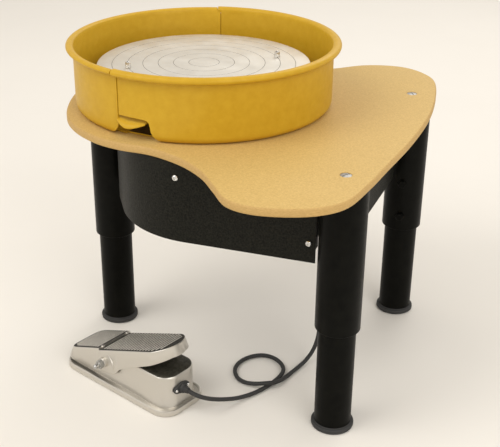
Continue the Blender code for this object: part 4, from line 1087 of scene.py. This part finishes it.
def rounded_outline(length, width, radius, steps=10):
    points = []
    for quarter, (sx, sy) in enumerate(((1, 1), (-1, 1), (-1, -1), (1, -1))):
        centre = (sx * (length / 2 - radius), sy * (width / 2 - radius))
        points += arc(centre, radius, 90.0 * quarter, 90.0 * (quarter + 1), steps)
    return points


def pedal_body():
    """Base plate with a raised rim, and the housing that stands on it."""
    outline = rounded_outline(252.0, 100.0, 30.0)
    levels = ((2.2, 0.0), (0.7, 0.6), (0.0, 2.4), (0.0, 8.4), (0.7, 10.1), (2.2, 10.8), (4.2, 10.4),
              (5.4, 8.8), (7.4, 8.6))
    rings = [[(x, y, height) for x, y in inset(outline, margin)] for margin, height in levels]
    piece("base_plate", on_pedal(stack(rings)), (cast_metal(),), "stand", ("pedal_base",))
    shell = [both_sides(housing_side(6.0), housing_top)]
    for margin, drop in ((3.4, 0.4), (1.6, 1.4), (0.4, 3.2), (0.0, 5.6)):
        shell.append(both_sides(housing_side(margin), lambda along, drop=drop: housing_top(along) - drop))
    shell += [both_sides(housing_side(0.0), lambda along: 12.6),
              both_sides(housing_side(-1.6), lambda along: 10.2),
              both_sides(housing_side(-1.6), lambda along: 8.6)]
    body = bridged_stack(shell)
    body.normal_update()
    # up-facing faces high on the housing sit under the tread and take the painted shade
    for face in body.faces:
        face.material_index = 1 if abs(face.normal.z) > 0.75 and face.calc_center_median().z > 15.0 else 0
    slot = block((34.0, 8.0, 40.0), (9.0, 0.0, 68.0))
    piece("housing", on_pedal(body), (cast_metal(), painted_shade_cast_metal()), "stand",
          ("pedal_housing",), sharp=45.0, cutters=(oriented(on_pedal(slot)),))


def pivot_cap():
    """Acorn end on the pivot bolt."""
    profile = [(0.0, 0.0), (4.0, 0.0), (4.0, 5.0)] + arc((0.0, 5.0), 4.0, 0.0, 90.0, 6)[1:]
    lay = Matrix.Translation((PIVOT_ALONG, -51.0, PIVOT_HEIGHT))
    lay = lay @ Matrix.Rotation(math.radians(90.0), 4, "X")
    shape = moved(lathe(profile, 32, centre=(0.0, 0.0)), lay)
    piece("pivot_cap", on_pedal(shape), (zinc(),), "stand")


def pedal_gland():
    """Two-lobed clamp with two screws, a hexagon nut and a ribbed sleeve on the cord."""
    face = 116.3
    across, height = -6.0, 40.0
    lay = Matrix.Translation((face, across, height)) @ Matrix.Rotation(math.radians(90.0), 4, "Y")
    lobes = []
    for index in range(64):
        angle = math.tau * index / 64
        reach = 9.8 + 7.2 * abs(math.sin(angle)) ** 5
        lobes.append((reach * math.cos(angle), reach * math.sin(angle)))
    plate = stack([[(x * share, y * share, z) for x, y in lobes]
                   for share, z in ((1.0, 0.0), (1.0, 2.6), (0.94, 3.4))])
    nut = stack([ring_points(48, 8.6, 3.4, 6), ring_points(48, 8.6, 7.6, 6), ring_points(48, 7.2, 8.4)])
    sleeve = [(0.0, 8.0), (6.2, 8.0)]
    for step in range(4):
        start = 8.4 + step * 2.2
        radius = 6.0 - step * 0.4
        sleeve += [(radius, start), (radius, start + 1.4), (radius - 0.7, start + 1.6),
                   (radius - 0.7, start + 2.1)]
    sleeve += [(4.4, 17.7), (0.0, 17.7)]
    parts = [plate, nut, lathe(sleeve, 40, centre=(0.0, 0.0))]
    piece("cord_clamp", on_pedal(moved(join(parts), lay)), (black_plastic(),), "stand",
          ("pedal_gland",), sharp=30.0)
    screws = []
    for side in (-13.0, 13.0):
        head = [(0.0, 3.0), (2.6, 3.0), (2.6, 4.4), (1.8, 5.2), (0.0, 5.4)]
        screws.append(lathe(head, 24, centre=(0.0, side)))
    piece("cord_clamp_screws", on_pedal(moved(join(screws), lay)), (zinc(),), "stand")


# ================================================================ switch end
def inlet_pins():
    """Three flat contacts in the power inlet."""
    spot = middle("power_inlet")
    pins = []
    for across, up in ((-6.0, -2.2), (0.0, 2.6), (6.0, -2.2)):
        centre = spot + Vector((0.0, across * MM, up * MM))
        rings = [[(centre.x + x * MM, centre.y + sy * w * MM, centre.z + sz * h * MM)
                  for sy, sz in ((-1, -1), (1, -1), (1, 1), (-1, 1))]
                 for x, w, h in ((-8.0, 0.9, 2.2), (7.0, 0.9, 2.2), (9.0, 0.4, 1.4))]
        pins.append(stack(rings))
    piece("inlet_contacts", join(pins), (zinc(),), "stand")


# ================================================================ the whole
photo_camera()
studio()
floor()
dress_cad_nodes()
pedal_cord()
board()
table_screws()
apron_screws()
skirts()
legs()
wheel_head()
bat_pins()
splash_pan()
tread()
pedal_body()
pivot_cap()
pedal_gland()
inlet_pins()
